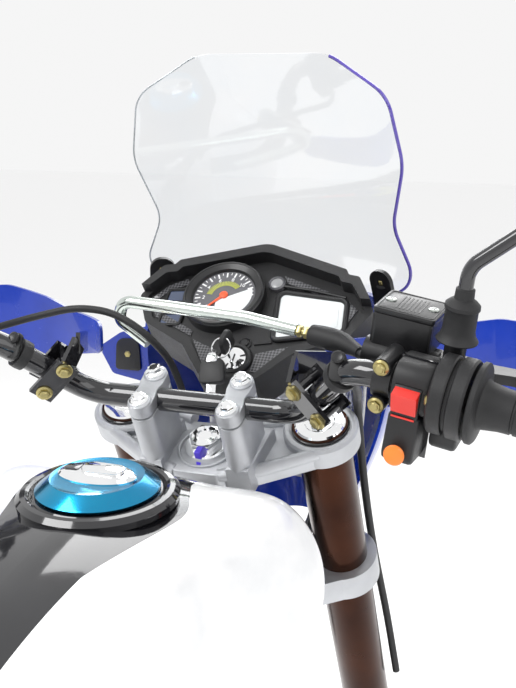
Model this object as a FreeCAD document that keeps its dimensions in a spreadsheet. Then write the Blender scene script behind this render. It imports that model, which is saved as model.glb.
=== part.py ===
"""Cockpit and steering section of an enduro motorcycle.

The document holds two construction frames. The level frame has its origin where the steering axis meets the
top of the top yoke, +X to the bike's left, +Y to the rear and +Z up. The steering frame is the level frame
leaned back by the rake angle, so that its Z axis is the steering axis. The part's own origin is the open
rear end of the frame's backbone tube, where the rest of the motorcycle holds this section.
"""
import FreeCAD
import Part
import Sketcher

import math
import os

from FreeCAD import Placement, Rotation, Vector

SIZES = {
    # frames
    "rake": 27, "backbone_reach": 430, "backbone_drop": 98,
    # frame side
    "head_outer": 29, "head_inner": 23.5, "head_top": -38, "head_bottom": -176, "stem_outer": 13.5,
    "cup_outer": 31, "spine_outer": 27, "spine_inner": 24, "down_tube_outer": 19, "down_tube_inner": 16.5,
    "down_tube_slope": 20, "down_tube_length": 200, "down_tube_plug": 40,
    # yokes and fork
    "fork_half": 103, "fork_offset": 43, "fork_outer": 27, "fork_bore": 21.55, "fork_length": 530,
    "fork_rise": 3, "yoke_thick": 24, "fork_boss": 37, "stem_boss": 35, "lower_yoke_top": -186,
    "lower_yoke_thick": 32, "cap_depth": 22, "cap_flange": 25, "cap_thread": 20,
    "riser_half": 44, "riser_centre": 5, "riser_wide": 24, "riser_long": 62, "bar_height": 60,
    "clamp_top": 75, "clamp_split": 1.5,
    "stem_nut_radius": 15, "stem_washer_radius": 21,
    # handlebar and controls
    "bar_radius": 11.1, "bar_bend": 42, "grip_radius": 17, "grip_flange": 33, "grip_length": 118,
    "throttle_radius": 32, "lever_thick": 9,
    # tank and cap
    "cap_radius": 49.5, "cap_height": 12, "cap_tilt": 4, "cap_back": 219, "cap_up": 30,
    "ring_outer": 54, "neck_inner": 34, "neck_depth": 14,
    # instruments
    "dash_slope": 39, "dash_back": -71, "dash_up": 68, "tacho_radius": 44.5, "tacho_side": 32,
    "tacho_along": 77, "ignition_radius": 15,
    # cables
    "guide_radius": 6.2, "cable_radius": 3.6, "hose_radius": 4.2,
}


class Size:
    """A number together with the spreadsheet formula that gives it."""

    def __init__(self, value, formula):
        self.value = float(value)
        self.formula = formula

    def __add__(self, other):
        other = as_size(other)
        return Size(self.value + other.value, f"({self.formula} + {other.formula})")

    def __sub__(self, other):
        other = as_size(other)
        return Size(self.value - other.value, f"({self.formula} - {other.formula})")

    def __mul__(self, factor):
        return Size(self.value * factor, f"({self.formula} * {factor})")

    def __neg__(self):
        return self * -1

    def __float__(self):
        return self.value


def as_size(number):
    return number if isinstance(number, Size) else Size(number, f"({number})")


class Sheet:
    """The driving dimensions, readable as attributes that carry their own formulas."""

    def __init__(self, document, cells):
        self.cells = cells
        self.object = document.addObject("Spreadsheet::Sheet", "Sizes")
        for row, (alias, number) in enumerate(cells.items(), start=1):
            self.object.set(f"A{row}", alias)
            self.object.set(f"B{row}", str(number))
            self.object.setAlias(f"B{row}", alias)
        document.recompute()

    def __getattr__(self, alias):
        return Size(self.cells[alias], f"Sizes.{alias}")


doc = FreeCAD.newDocument("motorcycle_cockpit")
size = Sheet(doc, SIZES)
origin = Vector(0, -float(size.backbone_reach), float(size.backbone_drop))
LEVEL = Placement(origin, Rotation())
STEERING = Placement(origin, Rotation(Vector(1, 0, 0), -float(size.rake)))
nodes = []


# ---------------------------------------------------------------- helpers

def keep(thing, label, frame):
    """Register a finished sub-part under its node name, placed in one of the two construction frames."""
    thing.Label = label
    thing.Placement = frame
    nodes.append(thing)
    return thing


def feature(label, shape, frame=LEVEL):
    """A shape worked out here, kept as a Part::Feature."""
    thing = doc.addObject("Part::Feature", label)
    thing.Shape = shape
    return keep(thing, label, frame.multiply(shape.Placement))


def bind(thing, **properties):
    for name, number in properties.items():
        if isinstance(number, Size):
            thing.setExpression(name, number.formula)
        else:
            setattr(thing, name, number)


def put(thing, x=0, y=0, z=0, turn=None):
    """Place a primitive, with each coordinate bound to its formula."""
    if turn:
        thing.Placement = Placement(Vector(), turn)
    for axis, number in zip("xyz", (x, y, z)):
        thing.setExpression(f"Placement.Base.{axis}", as_size(number).formula)
    return thing


def cylinder(name, radius, height, x=0, y=0, z=0, turn=None):
    thing = doc.addObject("Part::Cylinder", name)
    bind(thing, Radius=radius, Height=height)
    return put(thing, x, y, z, turn)


def box(name, length, width, height, x=0, y=0, z=0, turn=None):
    thing = doc.addObject("Part::Box", name)
    bind(thing, Length=length, Width=width, Height=height)
    return put(thing, x, y, z, turn)


def fuse(name, *things):
    thing = doc.addObject("Part::MultiFuse", name)
    thing.Shapes = list(things)
    return thing


def cut(name, base, *tools):
    thing = doc.addObject("Part::Cut", name)
    thing.Base = base
    thing.Tool = tools[0] if len(tools) == 1 else fuse(name + "_tools", *tools)
    return thing


def plane(body, role):
    return next(item for item in body.Origin.OriginFeatures if item.Role == role)


def profile(body, name, role, corners, depth=0):
    """A closed sketch of straight sides, every corner's two coordinates bound to the sheet."""
    sketch = body.newObject("Sketcher::SketchObject", name)
    sketch.AttachmentSupport = [(plane(body, role), "")]
    sketch.MapMode = "FlatFace"
    sketch.setExpression("AttachmentOffset.Base.z", as_size(depth).formula)
    points = [(as_size(across), as_size(up)) for across, up in corners]
    for start, end in zip(points, points[1:] + points[:1]):
        first = Vector(float(start[0]), float(start[1]), 0)
        last = Vector(float(end[0]), float(end[1]), 0)
        sketch.addGeometry(Part.LineSegment(first, last), False)
    count = len(points)
    for side in range(count):
        sketch.addConstraint(Sketcher.Constraint("Coincident", side, 2, (side + 1) % count, 1))
    for side, (across, up) in enumerate(points):
        for kind, number in (("DistanceX", across), ("DistanceY", up)):
            index = sketch.addConstraint(Sketcher.Constraint(kind, side, 1, float(number)))
            sketch.setExpression(f"Constraints[{index}]", number.formula)
    return sketch


def circles(body, name, role, rounds, depth=0):
    """A sketch of whole circles, each given as (across, up, radius)."""
    sketch = body.newObject("Sketcher::SketchObject", name)
    sketch.AttachmentSupport = [(plane(body, role), "")]
    sketch.MapMode = "FlatFace"
    sketch.setExpression("AttachmentOffset.Base.z", as_size(depth).formula)
    for number, (across, up, radius) in enumerate(rounds):
        centre = Vector(float(across), float(up), 0)
        sketch.addGeometry(Part.Circle(centre, Vector(0, 0, 1), float(radius)), False)
        rows = (("DistanceX", (number, 3, float(across)), across),
                ("DistanceY", (number, 3, float(up)), up), ("Radius", (number, float(radius)), radius))
        for kind, values, given in rows:
            index = sketch.addConstraint(Sketcher.Constraint(kind, *values))
            sketch.setExpression(f"Constraints[{index}]", as_size(given).formula)
    return sketch


def new_body(name):
    return doc.addObject("PartDesign::Body", name)


def pad(body, sketch, length, reverse=False):
    step = body.newObject("PartDesign::Pad", sketch.Name + "_pad")
    step.Profile = sketch
    step.setExpression("Length", as_size(length).formula)
    step.Reversed = reverse
    sketch.Visibility = False
    return step


def pocket(body, sketch, length, reverse=False):
    step = body.newObject("PartDesign::Pocket", sketch.Name + "_pocket")
    step.Profile = sketch
    step.setExpression("Length", as_size(length).formula)
    step.Reversed = reverse
    return step


def turned(name, half_section):
    """A body of revolution about its Z axis from (radius, height) corners."""
    body = new_body(name)
    sketch = profile(body, name + "_section", "XZ_Plane", half_section)
    step = body.newObject("PartDesign::Revolution", name + "_turn")
    step.Profile = sketch
    step.ReferenceAxis = (sketch, ["V_Axis"])
    step.Angle = 360
    return body


def smooth_path(points, radius):
    """Straight runs joined by tangent arcs: one radius, or one for each inner point."""
    points = [Vector(*point) for point in points]
    radii = radius if isinstance(radius, (list, tuple)) else [radius] * (len(points) - 2)
    edges = []
    start = points[0]
    for before, corner, after, bend in zip(points, points[1:], points[2:], radii):
        inward = (corner - before).normalize()
        outward = (after - corner).normalize()
        turn = inward.getAngle(outward)
        reach = bend * math.tan(turn / 2)
        begin = corner - inward * reach
        end = corner + outward * reach
        to_centre = (outward - inward).normalize()
        middle = corner + to_centre * (bend / math.cos(turn / 2) - bend)
        edges.append(Part.LineSegment(start, begin).toShape())
        edges.append(Part.Arc(begin, middle, end).toShape())
        start = end
    edges.append(Part.LineSegment(start, points[-1]).toShape())
    return Part.Wire(edges)


def natural_radii(points):
    """The bend at each inner point of a cord: as large as its two runs allow."""
    points = [Vector(*point) for point in points]
    radii = []
    for before, corner, after in zip(points, points[1:], points[2:]):
        run = min((corner - before).Length, (after - corner).Length)
        turn = (corner - before).getAngle(after - corner)
        radii.append(0.45 * run / math.tan(turn / 2))
    return radii


def rod(path, radius):
    """A round rod swept along a path."""
    edge = path.OrderedEdges[0]
    first = edge.valueAt(edge.FirstParameter)
    tangent = edge.tangentAt(edge.FirstParameter)
    ring = Part.Wire(Part.makeCircle(float(radius), first, tangent))
    return path.makePipeShell([ring], True, False)


def cord(label, points, radius, frame=LEVEL):
    radii = natural_radii(points)
    print(label, "bend radii", [round(value) for value in radii])
    return feature(label, rod(smooth_path(points, radii), radius), frame)


def outline(points):
    """A flat closed face through (x, y) corners; a corner with a third value is rounded by that radius."""
    corners = [Vector(point[0], point[1], 0) for point in points]
    rounds = [point[2] if len(point) > 2 else 0 for point in points]
    count = len(corners)
    edges = []
    ends = []
    for index, corner in enumerate(corners):
        inward = (corner - corners[index - 1]).normalize()
        outward = (corners[(index + 1) % count] - corner).normalize()
        bend = rounds[index]
        turn = inward.getAngle(outward)
        reach = bend * math.tan(turn / 2)
        side = (outward - inward).normalize() if turn > 1e-6 else Vector()
        middle = corner + side * (bend / math.cos(turn / 2) - bend)
        ends.append((corner - inward * reach, middle, corner + outward * reach, bend))
    for index, (begin, middle, end, bend) in enumerate(ends):
        if bend:
            edges.append(Part.Arc(begin, middle, end).toShape())
        following = ends[(index + 1) % count][0]
        edges.append(Part.LineSegment(end, following).toShape())
    return Part.Face(Part.Wire(edges))


def plate(points, thickness, placement=Placement()):
    """A flat plate of the given outline, thickened along its own Z."""
    solid = outline(points).extrude(Vector(0, 0, thickness))
    solid.Placement = placement
    return solid


def mirrored(shape):
    return shape.mirror(Vector(), Vector(1, 0, 0))


def both_sides(shape):
    return Part.makeCompound([shape, mirrored(shape)])


def axes(corner, across, up, outward):
    """A placement whose local X, Y and Z run along the three directions given."""
    return Placement(Vector(*corner), Rotation(Vector(*across), Vector(*up), Vector(*outward), "XYZ"))


# ---------------------------------------------------------------- where things stand

LEAN = Placement(Vector(), Rotation(Vector(1, 0, 0), -float(size.rake)))
slope = math.radians(float(size.dash_slope))
DASH = LEVEL.multiply(axes((0, float(size.dash_back), float(size.dash_up)), (-1, 0, 0),
                           (0, -math.cos(slope), math.sin(slope)), (0, math.sin(slope), math.cos(slope))))
BAR_LOW = LEAN.multVec(Vector(105, float(size.riser_centre), float(size.bar_height)))
BAR_HIGH = Vector(172, 108, 118)
BAR_END = Vector(400, 125, 80)
HAND_UP = Vector(0, 0.139, 0.99)


def hand(side):
    """The frame of one outer handlebar stretch: local Z outward along the bar, local Y up."""
    flip = Vector(side, 1, 1)
    start = Vector(BAR_HIGH.x * flip.x, BAR_HIGH.y, BAR_HIGH.z)
    end = Vector(BAR_END.x * flip.x, BAR_END.y, BAR_END.z)
    outward = (end - start).normalize()
    up = (HAND_UP - outward * HAND_UP.dot(outward)).normalize()
    return axes(start, up.cross(outward), up, outward)


RIGHT_HAND = LEVEL.multiply(hand(-1))
LEFT_HAND = LEVEL.multiply(hand(1))


# ---------------------------------------------------------------- frame and tank

def frame_spine():
    head = cut("head_tube", cylinder("head_wall", size.head_outer, size.head_top - size.head_bottom,
                                     z=size.head_bottom),
               cylinder("head_bore", size.head_inner, size.head_top - size.head_bottom + 2,
                        z=size.head_bottom - 1))
    head.Placement = LEAN
    rearward = Rotation(Vector(1, 0, 0), -90)
    slope = float(size.down_tube_slope)
    downward = Rotation(Vector(1, 0, 0), slope - 180)
    back, fall = math.sin(math.radians(slope)), -math.cos(math.radians(slope))
    top = cylinder("backbone_wall", size.spine_outer, size.backbone_reach + 40, y=-40,
                   z=-size.backbone_drop, turn=rearward)
    down = cylinder("down_tube_wall", size.down_tube_outer, size.down_tube_length, y=-24, z=-130, turn=downward)
    gusset = box("gusset", 6, 120, 62, x=-3, y=-42, z=-168)
    hollow = cylinder("backbone_bore", size.spine_inner, size.backbone_reach, y=12,
                      z=-size.backbone_drop, turn=rearward)
    down_bore = cylinder("down_tube_bore", size.down_tube_inner, size.down_tube_length,
                         y=size.down_tube_plug * back - 24, z=size.down_tube_plug * fall - 130, turn=downward)
    low = size.head_bottom - 1
    rake = math.radians(float(size.rake))
    passage = cylinder("stem_passage", size.head_inner, size.head_top - low + 1, y=low * math.sin(rake),
                       z=low * math.cos(rake), turn=LEAN.Rotation)
    opened = cut("spine_opened", fuse("spine_solid", top, down, gusset), hollow, down_bore, passage)
    keep(fuse("frame_spine", head, opened), "frame_spine", LEVEL)


def bearing_cups():
    inner = size.stem_outer + 0.05
    top = turned("cup_top", [(inner, size.head_top - 12), (size.head_inner, size.head_top - 12),
                             (size.head_inner, size.head_top), (size.cup_outer, size.head_top),
                             (size.cup_outer, size.head_top + 5), (size.cup_outer - 3, size.head_top + 8),
                             (inner, size.head_top + 8)])
    low = turned("cup_bottom", [(inner, size.head_bottom + 12), (inner, size.head_bottom - 5),
                                (size.cup_outer, size.head_bottom - 5), (size.cup_outer, size.head_bottom),
                                (size.head_inner, size.head_bottom), (size.head_inner, size.head_bottom + 12)])
    joined = doc.addObject("Part::Compound", "bearing_cups")
    joined.Links = [top, low]
    keep(joined, "bearing_cups", STEERING)


# Cross sections of the tank from front to rear: distance back, half width, height of the centre line, of
# the shoulder, of the widest line and of the lower edge.
TANK_SECTIONS = [
    (98, 138, -12, -16, -55, -118),
    (128, 158, 12, 4, -50, -140),
    (165, 156, 23, 15, -48, -150),
    (215, 134, 25, 9, -52, -150),
    (290, 116, 21, -2, -56, -146),
    (370, 112, 8, -16, -60, -140),
    (440, 98, -14, -34, -72, -128),
]


def tank_section(back, half, crown, shoulder, waist, foot):
    """A smooth closed cross section of the tank, across the bike."""
    right = [(half * 0.42, crown - (crown - shoulder) * 0.25), (half * 0.78, shoulder), (half, waist),
             (half * 0.86, foot + 14), (half * 0.5, foot)]
    points = [(0, crown)] + right + [(-x, z) for x, z in reversed(right)]
    curve = Part.BSplineCurve()
    curve.interpolate([Vector(x, back, z) for x, z in points], PeriodicFlag=True)
    return Part.Wire(curve.toShape())


def tank_body():
    return Part.makeLoft([tank_section(*row) for row in TANK_SECTIONS], True, False)


def cap_frame():
    tilt = Rotation(Vector(1, 0, 0), -float(size.cap_tilt))
    return Placement(Vector(0, float(size.cap_back), float(size.cap_up)), tilt)


COVER_OUTLINE = [(-40, 60, 0), (40, 60, 0), (50, 130, 20), (56, 165, 30), (76, 215, 40), (60, 275, 40),
                 (46, 330, 30), (38, 460, 0), (-38, 460, 0), (-46, 330, 30), (-60, 275, 40),
                 (-76, 215, 40), (-56, 165, 30), (-50, 130, 20)]


def tank_and_cover():
    body = tank_body()
    tunnel_roof = -float(size.backbone_drop) + float(size.spine_outer) + 9
    tunnel = Part.makeBox(84, 600, 200, Vector(-42, 0, tunnel_roof - 200))
    rounded = tunnel.makeFillet(24, [edge for edge in tunnel.Edges
                                     if edge.BoundBox.YLength > 500 and edge.BoundBox.ZMax > tunnel_roof - 1])
    neck = Part.makeCylinder(float(size.ring_outer), 80, Vector(0, 0, -float(size.neck_depth)))
    neck.Placement = cap_frame()
    prism = plate(COVER_OUTLINE, 200, Placement(Vector(0, 0, -70), Rotation()))
    lowered = body.translated(Vector(0, 0, -4))
    cover = body.common(prism).cut(lowered).cut(neck)
    cover = max(cover.Solids, key=lambda solid: solid.Volume)
    tank = body.cut(rounded).cut(neck).cut(cover)
    tank = max(tank.Solids, key=lambda solid: solid.Volume)
    feature("fuel_tank", tank)
    feature("tank_cover", cover)


def filler_ring():
    ring = turned("filler_ring", [(size.neck_inner, -size.neck_depth), (size.ring_outer, -size.neck_depth),
                                  (size.ring_outer, -3), (size.ring_outer - 3, 0), (size.neck_inner, 0)])
    keep(ring, "filler_ring", LEVEL.multiply(cap_frame()))


def tank_rubbers():
    roof = -float(size.backbone_drop) + float(size.spine_outer)
    pads = [Part.makeCylinder(14, 11, Vector(0, back, roof - 2)) for back in (180, 380)]
    spine = Part.makeCylinder(float(size.spine_outer), 500, Vector(0, 0, -float(size.backbone_drop)),
                              Vector(0, 1, 0))
    feature("tank_rubbers", Part.makeCompound([pad_shape.cut(spine) for pad_shape in pads]))


def fuel_cap():
    top = size.cap_height
    cap = turned("fuel_cap", [(0, -size.neck_depth + 2), (size.neck_inner - 0.6, -size.neck_depth + 2),
                              (size.neck_inner - 0.6, 0.4), (size.cap_radius, 0.4), (size.cap_radius, 3),
                              (size.cap_radius - 9, top - 1), (size.cap_radius - 12, top), (0, top)])
    keep(cap, "fuel_cap", LEVEL.multiply(cap_frame()))
    lid = plate([(-25, -9, 8.5), (25, -9, 8.5), (25, 9, 8.5), (-25, 9, 8.5)], 4)
    dome = plate([(-21, -6.5, 6), (21, -6.5, 6), (21, 6.5, 6), (-21, 6.5, 6)], 3,
                 Placement(Vector(0, 0, 4), Rotation()))
    frame = LEVEL.multiply(cap_frame()).multiply(Placement(Vector(0, 0, float(top)), Rotation()))
    feature("cap_key_cover", lid.fuse(dome).removeSplitter(), frame)


# ---------------------------------------------------------------- yokes and fork

def yoke(name, top, thick, riser):
    body = new_body(name)
    half, back = size.fork_half, -size.fork_offset
    low = top - thick
    web = profile(body, name + "_web", "XY_Plane",
                  [(half * -1 - 8, back - 22), (-40, back + 4), (40, back + 4), (half + 8, back - 22),
                   (half + 14, back + 33), (40, 33), (-40, 33), (half * -1 - 14, back + 33)], low)
    pad(body, web, thick)
    ends = circles(body, name + "_ends", "XY_Plane",
                   [(half, back, size.fork_boss)], low)
    pad(body, ends, thick)
    far = circles(body, name + "_far_end", "XY_Plane", [(-half, back, size.fork_boss)], low)
    pad(body, far, thick)
    middle = circles(body, name + "_middle", "XY_Plane", [(as_size(0), as_size(0), size.stem_boss)], low)
    pad(body, middle, thick)
    if riser:
        for side in (-1, 1):
            x, y = size.riser_half * side, size.riser_centre
            wide, long = size.riser_wide * 0.5, size.riser_long * 0.5
            foot = profile(body, f"{name}_riser_{side + 1}", "XY_Plane",
                           [(x - wide, y - long), (x + wide, y - long), (x + wide, y + long),
                            (x - wide, y + long)], low)
            pad(body, foot, size.bar_height - low - size.clamp_split)
        groove = circles(body, name + "_groove", "YZ_Plane",
                         [(size.riser_centre, size.bar_height, size.bar_radius)], as_size(-80))
        pocket(body, groove, 160, reverse=True)
    stem_radius = size.stem_outer if not riser else size.stem_outer - 3
    holes = circles(body, name + "_holes", "XY_Plane",
                    [(half, back, size.fork_outer), (-half, back, size.fork_outer),
                     (as_size(0), as_size(0), stem_radius)], low - 1)
    pocket(body, holes, size.bar_height - low + 20, reverse=True)
    keep(body, name, STEERING)


def steering_stem():
    wide, thin = size.stem_outer, size.stem_outer - 3
    low = size.lower_yoke_top - size.lower_yoke_thick
    stem = turned("steering_stem", [(0, low), (wide, low), (wide, -29.5), (22, -29.5), (22, -24),
                                    (thin, -24), (thin, 6), (0, 6)])
    keep(stem, "steering_stem", STEERING)


def stem_nut():
    thin = size.stem_outer - 3
    nut = turned("stem_nut", [(thin, 0), (size.stem_washer_radius, 0), (size.stem_washer_radius, 2.5),
                              (size.stem_nut_radius, 3), (size.stem_nut_radius, 3 + 8.5),
                              (size.stem_nut_radius - 2, 3 + 11), (0, 14), (0, 6), (thin, 6)])
    keep(nut, "stem_nut", STEERING)


def fork():
    top, length = size.fork_rise, size.fork_length
    tubes, caps = [], []
    for side in (-1, 1):
        x, y = size.fork_half * side, -size.fork_offset
        wall = cylinder(f"fork_wall_{side + 1}", size.fork_outer, length, x=x, y=y, z=top - length)
        bore = cylinder(f"fork_bore_{side + 1}", size.fork_bore, length - size.cap_depth + 1, x=x, y=y,
                        z=top - length - 1)
        thread = cylinder(f"cap_thread_{side + 1}", size.cap_thread, size.cap_depth + 2, x=x, y=y,
                          z=top - size.cap_depth - 1)
        tubes.append(cut(f"fork_tube_{side + 1}", wall, bore, thread))
        plug = cylinder(f"cap_plug_{side + 1}", size.cap_thread, size.cap_depth, x=x, y=y,
                        z=top - size.cap_depth)
        flange = cylinder(f"cap_flange_{side + 1}", size.cap_flange, 3, x=x, y=y, z=top)
        boss = cylinder(f"cap_boss_{side + 1}", 11, 6, x=x, y=y, z=top + 3)
        caps.append(fuse(f"fork_cap_{side + 1}", plug, flange, boss))
    for name, pair in (("fork_tubes", tubes), ("fork_caps", caps)):
        joined = doc.addObject("Part::Compound", name)
        joined.Links = pair
        keep(joined, name, STEERING)


def bar_path():
    low, high, end = BAR_LOW, BAR_HIGH, BAR_END
    right = [(-end.x, end.y, end.z), (-high.x, high.y, high.z), (-low.x, low.y, low.z)]
    left = [(low.x, low.y, low.z), (high.x, high.y, high.z), (end.x, end.y, end.z)]
    return smooth_path(right + left, float(size.bar_bend))


def handlebar():
    feature("handlebar", rod(bar_path(), size.bar_radius))


def handlebar_clamps():
    halves = []
    for side in (-1, 1):
        x, y = size.riser_half * side, size.riser_centre
        block = box(f"clamp_block_{side + 1}", size.riser_wide, size.riser_long,
                    size.clamp_top - size.bar_height, x=x - size.riser_wide * 0.5,
                    y=y - size.riser_long * 0.5, z=size.bar_height)
        bar = cylinder(f"clamp_bore_{side + 1}", size.bar_radius, 60, x=x - 30, y=y, z=size.bar_height,
                       turn=Rotation(Vector(0, 1, 0), 90))
        halves.append(cut(f"clamp_half_{side + 1}", block, bar))
    joined = doc.addObject("Part::Compound", "handlebar_clamps")
    joined.Links = halves
    keep(joined, "handlebar_clamps", STEERING)


# ---------------------------------------------------------------- controls on the bar

def bar_solid(extra=0.0):
    return rod(bar_path(), float(size.bar_radius) + extra)


def grips():
    inner, length = size.bar_radius, size.grip_length
    right = turned("throttle_grip", [(inner, 105), (size.grip_flange, 105), (size.grip_flange, 110),
                                     (size.grip_radius + 2, 113), (size.grip_radius, 122),
                                     (size.grip_radius, length + 113), (size.grip_radius - 3, length + 117),
                                     (inner, length + 117)])
    keep(right, "throttle_grip", RIGHT_HAND)
    left = turned("left_grip", [(inner, 105), (size.grip_radius + 7, 105), (size.grip_radius + 7, 110),
                                (size.grip_radius + 1, 113), (size.grip_radius, 122),
                                (size.grip_radius, length + 113), (size.grip_radius - 3, length + 117),
                                (inner, length + 117)])
    keep(left, "left_grip", LEFT_HAND)


def drilled(shape):
    """A control housing bored for the handlebar, which runs through it along its own Z."""
    bore = Part.makeCylinder(float(size.bar_radius), 400, Vector(0, 0, -100))
    return shape.cut(bore)


def along(points, start, length):
    """A prism of the given cross section, running outward along the bar."""
    return plate(points, length, Placement(Vector(0, 0, start), Rotation()))


SWITCH_SECTION = [(-24, -16, 8), (24, -16, 8), (24, 22, 10), (-20, 24, 12)]
SWITCH_TAIL = [(-30, -56, 6), (10, -60, 8), (24, -16, 2), (-24, -16, 2)]


def throttle_housing():
    drum = Part.makeCylinder(float(size.throttle_radius), 28, Vector(0, 0, 74))
    lug = along([(-10, -44, 4), (26, -40, 6), (30, 0, 6), (-10, 0, 2)], 76, 22)
    feature("throttle_housing", drilled(drum.fuse(lug)).removeSplitter(), RIGHT_HAND)


def right_switches():
    body = along(SWITCH_SECTION, 42, 31).fuse(along(SWITCH_TAIL, 44, 26))
    feature("right_switch_housing", drilled(body).removeSplitter(), RIGHT_HAND)
    rocker = Part.makeBox(5, 11, 19, Vector(-29.2, -11, 47))
    feature("kill_switch", rocker.cut(body), RIGHT_HAND)
    button = Part.makeCylinder(6, 9, Vector(-28.5, -46, 57), Vector(-1, 0.1, 0))
    feature("start_button", button.cut(body), RIGHT_HAND)


def left_switches():
    body = along([(-24, -24, 8), (24, -24, 8), (24, 24, 10), (-24, 24, 10)], 66, 36)
    lower = along([(-24, -44, 8), (12, -44, 8), (24, -24, 2), (-24, -24, 2)], 70, 28)
    shape = drilled(body.fuse(lower)).removeSplitter()
    feature("left_switch_housing", shape, LEFT_HAND)


def brake_master():
    band = Part.makeCylinder(16, 15, Vector(0, 0, 24))
    neck = along([(4, -13, 3), (30, -13, 3), (30, 13, 3), (4, 13, 3)], 24, 15)
    barrel = Part.makeCylinder(13, 62, Vector(42, 0, -2))
    tank = along([(35, 11, 3), (80, 11, 3), (80, 38.5, 3), (35, 38.5, 3)], 2.4, 51)
    perch = along([(30, -9, 4), (66, -9, 6), (66, 9, 6), (30, 9, 4)], 52, 34)
    mirror_boss = Part.makeCylinder(9, 35, Vector(32, -2, 75), Vector(0, 1, 0))
    arm = along([(18, -8, 3), (52, -8, 4), (52, 8, 4), (18, 8, 3)], 60, 30)
    shape = band.fuse([neck, barrel, tank, perch, arm, mirror_boss])
    clear = along(SWITCH_SECTION, 41.5, 32).fuse(Part.makeCylinder(size.throttle_radius.value + 0.5, 29,
                                                                 Vector(0, 0, 73.5)))
    lever_slot = Part.makeBox(60, float(size.lever_thick) + 1, 40, Vector(36, -5, 62))
    feature("brake_master", drilled(shape.cut(clear).cut(lever_slot)), RIGHT_HAND)
    lid = along([(34, 38.5), (81, 38.5), (81, 43, 2), (34, 43, 2)], 1.4, 53)
    feature("reservoir_lid", lid, RIGHT_HAND)


def lever(label, side, frame):
    """A cast lever: a flat blade lying in the plane of the bar, curving to follow the grip."""
    half = float(size.lever_thick) / 2
    across = [(44, 66), (60, 64), (66, 84), (72, 120), (74, 170), (82, 236), (72, 244), (62, 232),
              (60, 170), (56, 120), (46, 88)]
    rounds = [5, 8, 20, 60, 80, 4, 4, 20, 60, 30, 10]
    points = [(side * x, z, bend) for (x, z), bend in zip(across, rounds)]
    blade = outline(points).extrude(Vector(0, 0, 2 * half))
    blade.Placement = axes((0, half, 0), (1, 0, 0), (0, 0, 1), (0, -1, 0))
    feature(label, blade, frame)


def clutch_perch():
    band = Part.makeCylinder(16, 18, Vector(0, 0, 44))
    arm = along([(-60, -9, 6), (-4, -9, 3), (-4, 9, 3), (-60, 9, 6)], 44, 18)
    ear = along([(-64, -10, 6), (-34, -10, 4), (-34, 10, 4), (-64, 10, 6)], 50, 24)
    mirror_boss = Part.makeCylinder(9, 20, Vector(-24, -2, 47), Vector(0, 1, 0))
    slot = Part.makeBox(60, float(size.lever_thick) + 1, 40, Vector(-96, -5, 62.5))
    shape = band.fuse([arm, ear, mirror_boss]).cut(slot)
    feature("clutch_perch", drilled(shape), LEFT_HAND)


MIRROR_ROUTE = [(0, 0, 0), (0, 62, 0), (-6, 96, 34), (-8, 190, 92)]


def mirrors():
    """Both mirrors: a rubber boot and bent steel stem, and a rounded head with its glass facing back."""
    stems, heads = [], []
    for side, frame, foot in ((1, LEFT_HAND, Vector(-24, 18.2, 46)), (-1, RIGHT_HAND, Vector(32, 33.2, 75))):
        boot = Part.makeCone(17, 14, 6, foot, Vector(0, 1, 0))
        boot = boot.fuse(Part.makeCylinder(13, 26, foot + Vector(0, 6, 0), Vector(0, 1, 0)))
        points = [(foot.x + side * x, foot.y + y, foot.z + z) for x, y, z in MIRROR_ROUTE]
        stem = rod(smooth_path(points, 22), 6)
        shape = boot.fuse(stem)
        shape.Placement = frame
        stems.append(shape)
        tip = frame.multVec(Vector(*points[-1]))
        shell = outline([(-62, -34, 24), (62, -38, 26), (66, 30, 28), (-58, 36, 26)])
        shell = shell.extrude(Vector(0, 0, 26))
        shell.Placement = axes((tip.x + side * 20, tip.y - 26, tip.z + 30), (side, 0, 0), (0, 0.1, 0.995),
                               (0, 0.995, -0.1))
        heads.append(shell)
    stems = [stem.cut(head) for stem, head in zip(stems, heads)]
    keep_shape("mirror_stems", stems)
    keep_shape("mirror_heads", heads)


def keep_shape(label, shapes):
    thing = doc.addObject("Part::Feature", label)
    thing.Shape = Part.makeCompound(shapes)
    thing.Label = label
    nodes.append(thing)


def bent_strap(points, width, thickness):
    """A flat bar folded at each inner point, as boxes laid end to end."""
    runs = []
    for start, end in zip(points, points[1:]):
        direction = (end - start).normalize()
        side = direction.cross(Vector(0, 0, 1)).normalize()
        run = Part.makeBox(thickness, width, (end - start).Length + thickness / 2,
                           Vector(-thickness / 2, -width / 2, -thickness / 2))
        run.Placement = axes(start, side, direction.cross(side), direction)
        runs.append(run)
    return runs[0].fuse(runs[1:])


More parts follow.
